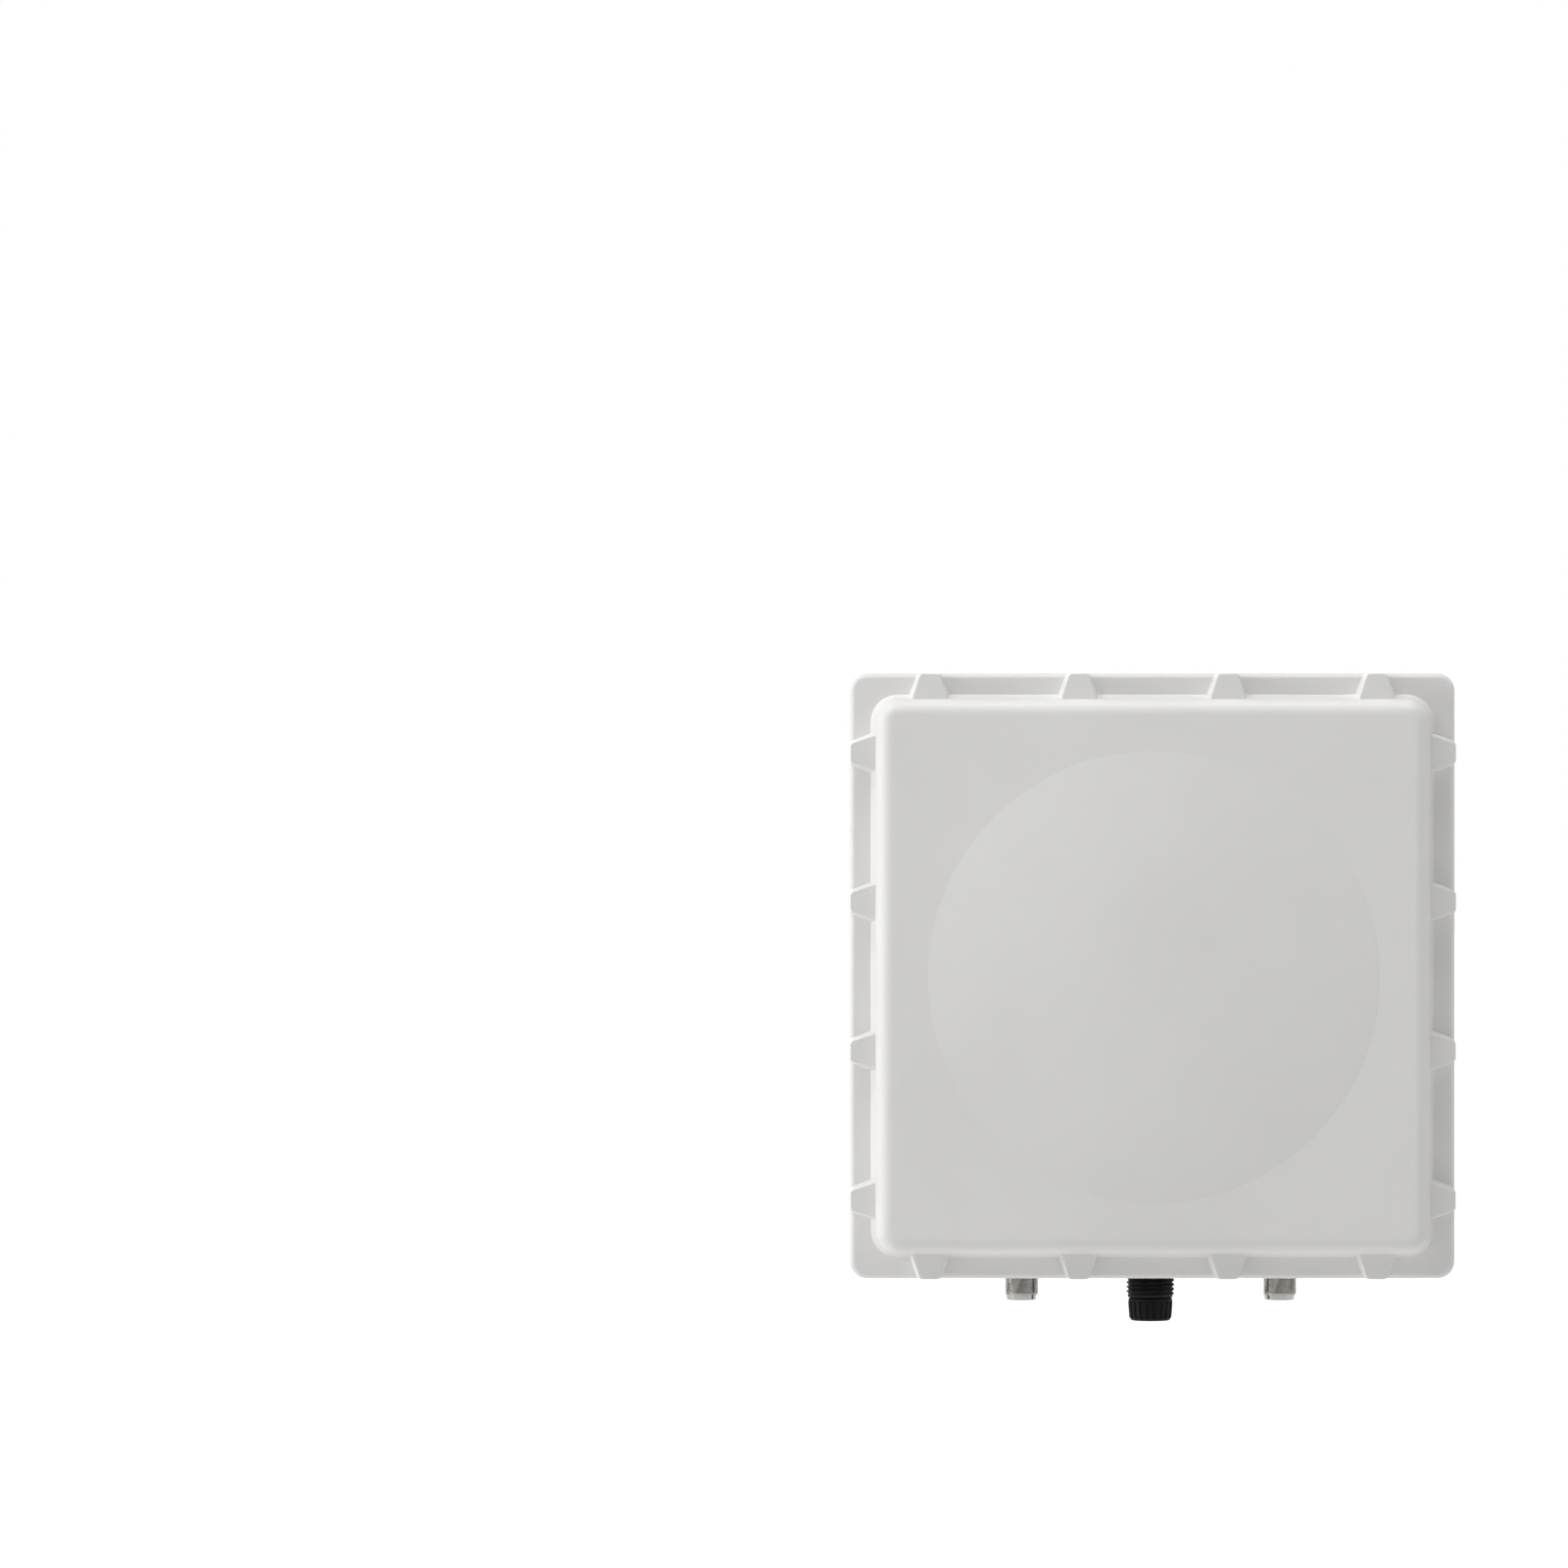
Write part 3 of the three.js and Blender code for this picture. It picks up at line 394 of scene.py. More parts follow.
def prism(name, outline, axis, start, end):
    """An outline pushed along an axis. For x it holds (y, z), for y (x, z), for z (x, y)."""
    spots = {"x": (1, 2, 0), "y": (0, 2, 1), "z": (0, 1, 2)}[axis]
    rings = []
    for along in (start, end):
        ring = []
        for u, v in outline:
            point = [0, 0, 0]
            point[spots[0]], point[spots[1]], point[spots[2]] = u, v, along
            ring.append(tuple(point))
        rings.append(ring)
    return stacked(name, rings)


def turned_about_y(obj, turn):
    """Turns a mesh about the unit's centre by quarter turns."""
    angle = math.radians(turn)
    spot = np.array([vertex.co for vertex in obj.data.vertices])
    x = spot[:, 0] * math.cos(angle) + spot[:, 2] * math.sin(angle)
    z = -spot[:, 0] * math.sin(angle) + spot[:, 2] * math.cos(angle)
    obj.data.vertices.foreach_set("co", np.column_stack([x, spot[:, 1], z]).ravel())
    return obj


# ---- Materials ----

def srgb(*values):
    """Linear colour from 0 to 255 screen values."""
    parts = [value / 255 for value in values]
    return tuple(p / 12.92 if p <= 0.04045 else ((p + 0.055) / 1.055) ** 2.4 for p in parts) + (1,)


class Finish:
    """A procedural material: two tints mixed by a pattern, roughness that varies, and layered bump."""

    def __init__(self, name, metallic=0.0, specular=0.5):
        self.material = bpy.data.materials.new(name)
        self.material.use_nodes = True
        self.nodes = self.material.node_tree.nodes
        self.links = self.material.node_tree.links
        self.shader = self.nodes["Principled BSDF"]
        self.shader.inputs["Metallic"].default_value = metallic
        self.shader.inputs["Specular IOR Level"].default_value = specular
        self.place = self.nodes.new("ShaderNodeTexCoord").outputs["Object"]
        self.normal = None

    def stretched(self, scale):
        """Coordinates scaled unevenly, for grain that runs along one direction."""
        mapping = self.nodes.new("ShaderNodeMapping")
        mapping.inputs["Scale"].default_value = scale
        self.links.new(self.place, mapping.inputs["Vector"])
        return mapping.outputs["Vector"]

    def noise(self, scale, detail=4, roughness=0.55, stretch=None):
        node = self.nodes.new("ShaderNodeTexNoise")
        node.inputs["Scale"].default_value = scale
        node.inputs["Detail"].default_value = detail
        node.inputs["Roughness"].default_value = roughness
        self.links.new(self.stretched(stretch) if stretch else self.place, node.inputs["Vector"])
        return node.outputs["Fac"]

    def cells(self, scale):
        node = self.nodes.new("ShaderNodeTexVoronoi")
        node.inputs["Scale"].default_value = scale
        self.links.new(self.place, node.inputs["Vector"])
        return node.outputs["Color"]

    def mapped(self, source, low, high, start=0.3, end=0.7):
        node = self.nodes.new("ShaderNodeMapRange")
        node.inputs["From Min"].default_value = start
        node.inputs["From Max"].default_value = end
        node.inputs["To Min"].default_value = low
        node.inputs["To Max"].default_value = high
        self.links.new(source, node.inputs["Value"])
        return node.outputs["Result"]

    def tint(self, source, first, second, start=0.3, end=0.7):
        node = self.nodes.new("ShaderNodeMix")
        node.data_type = "RGBA"
        for socket in node.inputs:
            if socket.type == "RGBA":
                socket.default_value = first if socket.name == "A" else second
        self.links.new(self.mapped(source, 0, 1, start, end), node.inputs["Factor"])
        result = next(socket for socket in node.outputs if socket.type == "RGBA")
        self.links.new(result, self.shader.inputs["Base Color"])
        return self

    def rough(self, source, low, high, start=0.3, end=0.7):
        self.links.new(self.mapped(source, low, high, start, end), self.shader.inputs["Roughness"])
        return self

    def glow(self, strengths, reach):
        """Emission that grows from the object-space origin outwards, between two distances in metres."""
        length = self.nodes.new("ShaderNodeVectorMath")
        length.operation = "LENGTH"
        self.links.new(self.place, length.inputs[0])
        strength = self.mapped(length.outputs["Value"], *strengths, *reach)
        self.links.new(strength, self.shader.inputs["Emission Strength"])
        return self

    def bump(self, source, height, strength=1.0):
        """One more layer of bump, height in millimetres."""
        node = self.nodes.new("ShaderNodeBump")
        node.inputs["Strength"].default_value = strength
        node.inputs["Distance"].default_value = height * MM
        self.links.new(source, node.inputs["Height"])
        if self.normal:
            self.links.new(self.normal, node.inputs["Normal"])
        self.normal = node.outputs["Normal"]
        self.links.new(self.normal, self.shader.inputs["Normal"])
        return self


def moulded(name, light, dark, rough, grain=2600, height=0.02, specular=0.45):
    """Moulded plastic: very fine grain, faint flow marks and patches of duller surface."""
    look = Finish(name, specular=specular)
    look.tint(look.noise(9, 5), light, dark)
    look.rough(look.noise(60, 4), rough - 0.06, rough + 0.06)
    look.bump(look.noise(grain, 2, 0.6), height)
    look.bump(look.noise(22, 3), height * 4, 0.5)
    return look.material


def coated(name, light, dark, rough):
    """Powder coat: orange peel over a casting, with faint dust."""
    look = Finish(name, specular=0.5)
    look.tint(look.noise(14, 6), light, dark)
    look.rough(look.noise(180, 3), rough - 0.08, rough + 0.08)
    look.bump(look.noise(700, 2, 0.5), 0.05)
    look.bump(look.noise(2400, 2, 0.6), 0.015)
    return look.material


def plated(name, light, dark, rough, stretch=(1, 1, 1)):
    """Bright plated or turned metal: fine lines, small stains and scuffs."""
    look = Finish(name, metallic=1.0)
    look.tint(look.noise(45, 5, 0.6), light, dark)
    look.rough(look.noise(700, 3, 0.5, stretch), rough * 0.8, rough * 1.3)
    look.bump(look.noise(1600, 2, 0.5, stretch), 0.003, 0.6)
    return look.material


def galvanised(name, light, dark):
    """Hot-dip zinc: crystal spangle with its own brightness and roughness in each cell."""
    look = Finish(name, metallic=0.9)
    spangle = look.cells(150)
    look.tint(spangle, light, dark, 0, 1)
    look.rough(look.noise(90, 5), 0.34, 0.58)
    look.bump(spangle, 0.01, 0.5)
    look.bump(look.noise(500, 4), 0.02)
    return look.material


def rubbery(name, light, dark):
    look = Finish(name, specular=0.3)
    look.tint(look.noise(60, 4), light, dark)
    look.rough(look.noise(200, 3), 0.72, 0.92)
    look.bump(look.noise(1800, 3), 0.03)
    return look.material


def circuit(name):
    """Solder mask: faint copper pattern under green."""
    look = Finish(name, specular=0.5)
    look.tint(look.cells(120), srgb(26, 88, 48), srgb(38, 112, 62), 0, 1)
    look.rough(look.noise(300, 3), 0.3, 0.45)
    look.bump(look.cells(120), 0.02)
    return look.material


ROLLED = (1, 1, 0.05)  # grain drawn out along Z

MATERIALS = {
    "cover_plastic": moulded("cover_plastic", srgb(226, 225, 223), srgb(221, 220, 218), 0.5),
    "housing_coating": coated("housing_coating", srgb(214, 213, 210), srgb(204, 203, 200), 0.5),
    "seal_rubber": rubbery("seal_rubber", srgb(34, 34, 35), srgb(24, 24, 25)),
    "plug_rubber": rubbery("plug_rubber", srgb(40, 40, 42), srgb(28, 28, 30)),
    "stainless_screw": plated("stainless_screw", srgb(202, 203, 204), srgb(186, 187, 189), 0.27),
    "reflector_sheet": plated("reflector_sheet", srgb(205, 207, 209), srgb(188, 190, 193), 0.35, ROLLED),
    "circuit_board": circuit("circuit_board"),
    "shield_tinplate": plated("shield_tinplate", srgb(190, 189, 184), srgb(170, 170, 166), 0.4),
    "thermal_silicone": rubbery("thermal_silicone", srgb(140, 152, 164), srgb(122, 134, 148)),
    "port_nickel": plated("port_nickel", srgb(194, 192, 188), srgb(166, 163, 158), 0.2),
    "port_insulator": moulded("port_insulator", srgb(240, 240, 236), srgb(230, 230, 224), 0.4),
    "contact_gold": plated("contact_gold", srgb(222, 186, 104), srgb(200, 160, 84), 0.24),
    "coax_copper": plated("coax_copper", srgb(196, 150, 118), srgb(172, 128, 98), 0.35),
    "gland_nylon": moulded("gland_nylon", srgb(9, 9, 10), srgb(5, 5, 6), 0.5, 1500, 0.03, 0.22),
    "vent_plastic": moulded("vent_plastic", srgb(34, 34, 35), srgb(24, 24, 25), 0.5, 1500, 0.03),
    "bracket_zinc": galvanised("bracket_zinc", srgb(186, 190, 193), srgb(160, 165, 169)),
    "bolt_zinc": plated("bolt_zinc", srgb(202, 203, 203), srgb(184, 186, 187), 0.32),
}


def dress(obj, slot, body, *nodes):
    """Gives a finished piece its material and its body, and hides the CAD nodes that it stands for."""
    obj.data.materials.clear()
    obj.data.materials.append(MATERIALS[slot])
    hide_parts(*nodes)
    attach(obj, body)


# CAD nodes that stay as they are get their slot's material.
for entry in frame["record"]["subparts"]:
    kept = frame["nodes"][entry["node"]]
    kept.data.materials.clear()
    kept.data.materials.append(MATERIALS[entry["material_slot"]])

SIDE_TURNS = (0, 90, 180, 270)
RIB_OFFSETS = (-103.2, -34.4, 34.4, 103.2)
RIB_PLACES = [(turn, offset) for turn in SIDE_TURNS for offset in RIB_OFFSETS]
SCREW_LINE = 135.4
PLATE_CORNER = 8

# ---- Front cover ----

COVER_HIGH = edges("radome")[1]
PLATE_HALF = COVER_HIGH[0]
PLATE_EDGE = 2.4
COVER_BACK = COVER_HIGH[1]
COVER_FLANGE = COVER_BACK - PLATE_THICKNESS
DOME_RISE = 4.5
DOME_RADIUS = 104.5
COVER_RISE = 20
COVER_FACE = COVER_FLANGE - COVER_RISE
COVER_HALF = 130
COVER_CORNER = 12.5
COVER_DRAFT = 2
COVER_FILLET = 7.2
COVER_FOOT = 0.5  # the small fillet where the body meets the plate
COVER_WALL = 3
FACE_RUN = 0.6  # the flat ring that ends the rounded front edge
DOME_LIP = 0.6  # the dome's crisp rim
RIB_HEIGHT = 12.5
RIB_DRAFT = 1.5
RIB_EDGE = 0.9
RIB_ROOT = 10.8  # half widths at the body and at the tip
RIB_NOSE = 5.5
RIB_NOSE_DRAFT = 0.6  # how fast both draw in, against the sides' draft
RIB_TIP_DRAFT = 0.15
RIB_TIP_GAP = 0.05  # keeps the tip just inside the plate's edge
RIB_CORNER = 1.9
COVER_HOLE = 2.05
COVER_HOLE_END = -172


def plate_rings(back, front, half, corner, edge):
    """Rings of a flat plate whose edge is rounded at its front, on whichever side that lies."""
    sign = 1 if back > front else -1
    rings = [(back, half, corner), (front + sign * edge, half, corner)]
    for step in range(1, ARC_STEPS + 1):
        angle = step / ARC_STEPS * TURN / 4
        pull = edge * (1 - math.cos(angle))
        rings.append((front + sign * edge * (1 - math.sin(angle)), half - pull, corner - pull))
    return rings


def cover_rings(inset, back):
    """Rings of the raised body: a small root fillet, drafted walls, then the rounded front edge."""
    half, corner, fillet = COVER_HALF - inset, COVER_CORNER - inset, COVER_FILLET - inset
    face = COVER_FACE + inset
    foot = 0 if inset else COVER_FOOT
    rings = [(back, half + foot, corner + foot)]
    if foot:
        rings.append((COVER_FLANGE, half + foot, corner + foot))
        for step in range(1, 5):
            angle = step / 4 * TURN / 4
            spread = foot * (1 - math.sin(angle))
            rings.append((COVER_FLANGE - foot * (1 - math.cos(angle)), half + spread, corner + spread))
    steps = 12
    for step in range(steps + 1):
        angle = step / steps * TURN / 4
        pull = COVER_DRAFT + fillet * (1 - math.cos(angle))
        rings.append((face + fillet * (1 - math.sin(angle)), half - pull, max(corner - pull, 1)))
    rings.append((face, rings[-1][1] - FACE_RUN, max(rings[-1][2] - FACE_RUN, 0.8)))
    return rings


def dome(face):
    """The shallow spherical cap, with a crisp rim, sunk a little way into the face."""
    segments, steps = 128, 14
    sphere = (DOME_RADIUS ** 2 + DOME_RISE ** 2) / (2 * DOME_RISE)
    profile = [(0, face + 1), (DOME_RADIUS, face + 1)]
    for radius in [DOME_RADIUS - DOME_LIP] + [DOME_RADIUS * (1 - k / steps) for k in range(1, steps)]:
        profile.append((radius, face - DOME_RISE + sphere - math.sqrt(sphere ** 2 - radius ** 2)))
    profile.append((0, face - DOME_RISE))
    return spin("dome", profile, "y", (0, 0, 0), segments)


def rib(offset):
    """A drafted wedge from the wall to the plate's edge, rounded at its tip and along its top."""
    shoulder = RIB_HEIGHT - RIB_EDGE
    levels = [(-1, 0), (0, 0), (shoulder, RIB_DRAFT)]
    for step in range(1, ARC_STEPS + 1):
        angle = step / ARC_STEPS * TURN / 4
        levels.append((shoulder + RIB_EDGE * math.sin(angle), RIB_DRAFT + RIB_EDGE * (1 - math.cos(angle))))
    rings = []
    for level, inset in levels:
        tip = PLATE_HALF - RIB_TIP_GAP - inset * RIB_TIP_DRAFT
        root, nose = RIB_ROOT - inset, RIB_NOSE - inset * RIB_NOSE_DRAFT
        corner = min(RIB_CORNER, nose * 0.85)
        start = COVER_HALF - 4
        outline = rounded([(-root, start, 0), (root, start, 0), (nose, tip, corner), (-nose, tip, corner)])
        rings.append([(offset + u, COVER_FLANGE - level, v) for u, v in outline])
    return stacked("rib", rings)


def screw_holes(radius, start, end):
    """One hole for each cover screw."""
    return gathered("holes", [
        turned_about_y(drill(radius, start, end, "y", (offset, 0, SCREW_LINE), 16), turn)
        for turn, offset in RIB_PLACES
    ])


def front_cover():
    cover = square_loft("front_cover", cover_rings(0, COVER_FLANGE + 1), 16)
    plate = plate_rings(COVER_BACK, COVER_FLANGE, PLATE_HALF, PLATE_CORNER, PLATE_EDGE)
    join(cover, square_loft("flange", plate))
    join(cover, gathered("ribs", [turned_about_y(rib(offset), turn) for turn, offset in RIB_PLACES]))
    join(cover, dome(COVER_FACE))
    cut(cover, square_loft("inside", cover_rings(COVER_WALL, COVER_BACK + 1)))
    cut(cover, screw_holes(COVER_HOLE, COVER_HOLE_END, COVER_BACK + 1))
    return shade(cover)


dress(front_cover(), "cover_plastic", UNIT, "radome")

# ---- Rear housing ----

PARTING = COVER_BACK + GAP
FLANGE_BACK = PARTING + 5
FLANGE_EDGE = 1.2
PAD_BACK = edges("rear_housing")[1][1]
TUB_BACK = PAD_BACK - 10
TUB_HALF = 131
TUB_CORNER = 13
TUB_FLOOR = TUB_BACK - 4
TUB_FOOT = 1.5
TUB_EDGE = 4
TUB_DRAFT = 0.8
CAVITY_HALF = 126
CAVITY_CORNER = 8
FIN_HEIGHT = 8
FIN_PITCH = 12
FIN_LAST = 114  # the outermost fins' distance from the middle
FIN_END = 122
FIN_CLEAR = (60, 54)  # half width and half height of the bare patch behind the bracket
PADS = [(sx * 40, sz * 35) for sx in (-1, 1) for sz in (-1, 1)]
POSTS = [  # radius, front end, X, the two Z
    (5, -166.2, 112, (-112, 112)),
    (4, -132.6, 92, (-100, 86)),
]
GROOVE = (131, 11, 127.5, 7.5)  # outer and inner half width and corner
GROOVE_DEPTH = 2.5
SCREW_HOLE = 2.2
PAD_HOLE = 3.2
PORT_Y = -141
PORT_X = 60
GROUND_X = 98
VENT_X = -98
WALL_HOLES = [(-PORT_X, 8.24), (PORT_X, 8.24), (0, 11.5), (GROUND_X, 2.8), (VENT_X, 4.3)]


def tub_rings():
    """The tub from inside the flange to its rounded rear edge, with a small root fillet."""
    rings = [(FLANGE_BACK - 1, TUB_HALF + TUB_FOOT, TUB_CORNER + TUB_FOOT)]
    for step in range(5):
        angle = step / 4 * TURN / 4
        spread = TUB_FOOT * (1 - math.sin(angle))
        rise = TUB_FOOT * (1 - math.cos(angle))
        rings.append((FLANGE_BACK + rise, TUB_HALF + spread, TUB_CORNER + spread))
    for step in range(9):
        angle = step / 8 * TURN / 4
        pull = TUB_DRAFT + TUB_EDGE * (1 - math.cos(angle))
        rings.append((TUB_BACK - TUB_EDGE * (1 - math.sin(angle)), TUB_HALF - pull, TUB_CORNER - pull))
    return rings


def fin(x, low, high):
    """A drafted cooling fin with a rounded crest and rounded ends."""
    half_z = (high - low) / 2
    crest = TUB_BACK + FIN_HEIGHT
    rings = [(TUB_BACK - 1, 1.75, half_z, 1.7), (TUB_BACK + 0.3, 1.65, half_z, 1.6)]
    rings += [(crest - 1.1, 1.15, half_z - 1.6, 1.1), (crest - 0.35, 0.95, half_z - 2.2, 0.9)]
    rings.append((crest, 0.45, half_z - 3, 0.4))
    return loft("fin", rings, (x, (low + high) / 2), 4)


def fins():
    clear_x, clear_z = FIN_CLEAR
    made = []
    for x in range(-FIN_LAST, FIN_LAST + 1, FIN_PITCH):
        spans = [(-FIN_END, FIN_END)]
        if abs(x) < clear_x:
            spans = [(-FIN_END, -clear_z), (clear_z, FIN_END)]
        made += [fin(x, low, high) for low, high in spans]
    return gathered("fins", made)


def bracket_pad(x, z):
    """A round boss that the bracket sits on."""
    profile = [(0, TUB_BACK - 1), (8, TUB_BACK - 1), (8, TUB_BACK), (7.3, TUB_BACK + 1)]
    profile += [(7, PAD_BACK - 0.4), (6.6, PAD_BACK), (0, PAD_BACK)]
    return spin("pad", profile, "y", (x, 0, z), 40)


def rear_housing():
    body = square_loft("rear_body", plate_rings(PARTING, FLANGE_BACK, PLATE_HALF, PLATE_CORNER, FLANGE_EDGE))
    join(body, square_loft("tub", tub_rings()))
    join(body, fins())
    join(body, gathered("pads", [bracket_pad(x, z) for x, z in PADS]))
    cavity = [(depth, CAVITY_HALF, CAVITY_CORNER) for depth in (PARTING - 1, TUB_FLOOR)]
    cut(body, square_loft("cavity", cavity))
    posts = [
        drill(radius, front, TUB_FLOOR + 1, "y", (sx * x, 0, z), 24)
        for radius, front, x, heights in POSTS
        for sx in (-1, 1)
        for z in heights
    ]
    join(body, gathered("posts", posts))
    outer, outer_corner, inner, inner_corner = GROOVE
    groove = square_loft("groove", [(y, outer, outer_corner) for y in (PARTING - 1, PARTING + GROOVE_DEPTH)])
    cut(groove, square_loft("core", [(y, inner, inner_corner) for y in (PARTING - 2, PARTING + 3)]))
    cut(body, groove)
    holes = [drill(PAD_HOLE, TUB_FLOOR + 2, PAD_BACK + 1, "y", (x, 0, z), 24) for x, z in PADS]
    for x, radius in WALL_HOLES:
        holes.append(drill(radius, -TUB_HALF - 3, -CAVITY_HALF + 1, "z", (x, PORT_Y, 0), 48))
    cut(body, screw_holes(SCREW_HOLE, PARTING - 1, FLANGE_BACK + 1), gathered("holes", holes))
    return shade(body)


dress(rear_housing(), "housing_coating", UNIT, "rear_housing")

SCREW_LENGTH = 16
SCREW_KEY = 1.45  # half width of the key's recess


def cover_screw(name, turn, offset):
    """A pan head with a hexagon socket, and a coarse-threaded shank."""
    seat = FLANGE_BACK + GAP
    recess = hexagon(SCREW_KEY)
    tip = seat - SCREW_LENGTH
    shank = thread_rings(1.35, 1.75, 1.4, tip, seat - 1.5, 6)
    profile = [(0, tip)] + shank + [(1.6, seat - 1.4), (1.6, seat), (3.2, seat), (3.4, seat + 0.25)]
    profile += [(3.36, seat + 1.1), (3.1, seat + 1.75), (2.55, seat + 2.2), (1.9, seat + 2.4)]
    profile += [(recess, seat + 2.38), (recess, seat + 1.0), (0, seat + 0.8)]
    return shade(turned_about_y(spin(name, profile, "y", (offset, 0, SCREW_LINE), 24), turn))


for number, (turn, offset) in enumerate(RIB_PLACES, start=1):
    name = f"cover_screw_{number:02d}"
    dress(cover_screw(f"{name}_detail", turn, offset), "stainless_screw", UNIT, name)

# ---- RF sockets ----

SOCKET_LOW, SOCKET_HIGH = edges("rf_socket_right")
SOCKET_END = SOCKET_LOW[2]
SOCKET_REAR = SOCKET_HIGH[2]
WALL_OUT = -TUB_HALF
WALL_IN = -CAVITY_HALF
OUTER_SEAT = WALL_OUT - GAP  # where a piece bears on the wall from outside
BARREL = (7.5, 7.94, 1.058)  # N-type thread: root, crest and pitch
BORE_STEP = -138.2  # the insulator lies above this, and the bore ends at its floor
BORE_FLOOR = -132


def rf_socket(name, x):
    """N-type jack: threaded barrel, plain lip, bore down to the insulator, and the solder end inside."""
    rim, lip = SOCKET_END + 2.3, SOCKET_END
    shoulder = WALL_IN + 3.5
    profile = [(2.6, SOCKET_REAR), (3.7, SOCKET_REAR), (4, SOCKET_REAR - 0.3), (4, shoulder)]
    profile += [(10.2, shoulder), (10.5, shoulder - 0.3), (10.5, WALL_IN + GAP), (7.6, WALL_IN + GAP)]
    profile += [(7.6, WALL_OUT - 4.2)]
    profile += thread_rings(*BARREL, WALL_OUT - 4.4, rim, 8)
    profile += [(7.0, rim - 0.1), (6.95, lip + 0.5), (6.5, lip), (4.5, lip), (4.05, lip + 0.4)]
    profile += [(4.05, BORE_STEP), (4.05, BORE_FLOOR), (2.6, BORE_FLOOR)]
    return shade(spin(name, profile, "z", (x, PORT_Y, 0), 72), SHARP_ROUND)


def rf_nut(name, x):
    top = OUTER_SEAT
    profile = [(8.2, top), (9.0, top)] + hex_head(9.5, top - 0.2, top - 3.4, 0.6) + [(8.2, top - 3.4)]
    return shade(spin(name, profile, "z", (x, PORT_Y, 0), 72))


def rf_contact(name, x):
    """The centre contact: a slotted tube that takes the plug's pin."""
    tip, rear = SOCKET_END + 4.9, SOCKET_REAR - 2
    profile = [(0, tip + 5), (0.85, tip + 4.6), (0.85, tip + 0.3), (1.0, tip), (1.35, tip), (1.5, tip + 0.4)]
    profile += [(1.5, rear - 0.4), (1.1, rear), (0, rear)]
    contact = spin(name, profile, "z", (x, PORT_Y, 0), 32)
    for half_x, half_y in ((2.2, 0.16), (0.16, 2.2)):
        corners = ((-1, -1), (1, -1), (1, 1), (-1, 1))
        outline = [(x + sx * half_x, PORT_Y + sy * half_y) for sx, sy in corners]
        cut(contact, prism("slot", outline, "z", tip - 1, tip + 3.6))
    return shade(contact)


for side, x in (("left", -PORT_X), ("right", PORT_X)):
    dress(rf_socket(f"rf_socket_{side}_detail", x), "port_nickel", UNIT, f"rf_socket_{side}")
    dress(rf_nut(f"rf_nut_{side}_detail", x), "port_nickel", UNIT, f"rf_nut_{side}")
    dress(rf_contact(f"rf_contact_{side}_detail", x), "contact_gold", UNIT, f"rf_contact_{side}")

# ---- Ethernet port and gland ----

SHELL_LOW, SHELL_HIGH = edges("port_shell")
NUT_LOW, NUT_HIGH = edges("gland_nut")
THREAD_END = NUT_HIGH[2] + GAP
NECK_END = SHELL_LOW[2]
NECK_STEP = -148  # where the shell's bore narrows to the neck
GRIP_RIBS = 20
GRIP_DEPTH = 0.75
GRIP_SHARP = math.radians(35)


def port_shell():
    """Threaded shell with a shoulder against the wall and a threaded neck for the gland nut."""
    top, shoulder = SHELL_HIGH[2], OUTER_SEAT
    profile = [(8.5, top), (10.8, top), (11.1, top - 0.4), (11.1, shoulder), (13.2, shoulder)]
    profile += [(13.5, shoulder - 0.4), (13.5, shoulder - 2.6), (13.1, shoulder - 3), (10.1, shoulder - 3)]
    profile += thread_rings(10.35, 11.2, 2.1, shoulder - 3.2, THREAD_END + 0.1, 10)
    profile += [(10.05, THREAD_END), (7.5, THREAD_END)]
    profile += thread_rings(7.5, 8.0, 1.5, THREAD_END - 0.1, NECK_END + 0.6, 7)
    profile += [(7.3, NECK_END), (6.5, NECK_END), (6.5, NECK_STEP - 0.2), (8.5, NECK_STEP)]
    return shade(spin("port_shell_detail", profile, "z", (0, PORT_Y, 0), 96), SHARP_ROUND)


def gland_nut():
    """Slightly tapered nut with upright grip ribs and a rounded lower edge."""
    top, end = NUT_HIGH[2], NUT_LOW[2]

    def grip(base):
        def radius(angles, along):
            ridge = np.clip(0.5 + 1.1 * np.cos(angles * GRIP_RIBS), 0, 1)
            return base - GRIP_DEPTH * (1 - ridge)
        return radius

    profile = [(8.35, top), (9.7, top), (10.2, top - 0.3), (10.2, top - 1.1), (grip(10.3), top - 1.5)]
    profile += [(grip(10.28), top - 3), (grip(9.95), end + 3), (grip(9.8), end + 1.4)]
    for step in range(ARC_STEPS + 1):
        angle = step / ARC_STEPS * TURN / 4
        profile.append((8.0 + 1.4 * math.cos(angle), end + 1.2 * (1 - math.sin(angle))))
    profile += [(5.0, end), (4.75, end + 0.3), (4.75, end + 1.8), (8.35, end + 1.95)]
    return shade(spin("gland_nut_detail", profile, "z", (0, PORT_Y, 0), 240), GRIP_SHARP)


def gland_seal():
    low, high = edges("gland_seal")
    profile = [(3.8, high[2]), (5.6, high[2]), (6.2, high[2] - 0.8), (6.2, low[2] + 0.8), (5.4, low[2])]
    profile += [(3.8, low[2])]
    return shade(spin("gland_seal_detail", profile, "z", (0, PORT_Y, 0), 48))


def blanking_plug():
    """Round plug with a domed end and a pull recess."""
    low, high = edges("blanking_plug")
    profile = [(0, high[2]), (3.0, high[2]), (3.5, high[2] - 0.6), (3.5, low[2] + 0.5), (3.1, low[2])]
    profile += [(1.6, low[2]), (1.3, low[2] + 0.8), (0, low[2] + 0.9)]
    return shade(spin("blanking_plug_detail", profile, "z", (0, PORT_Y, 0), 48))


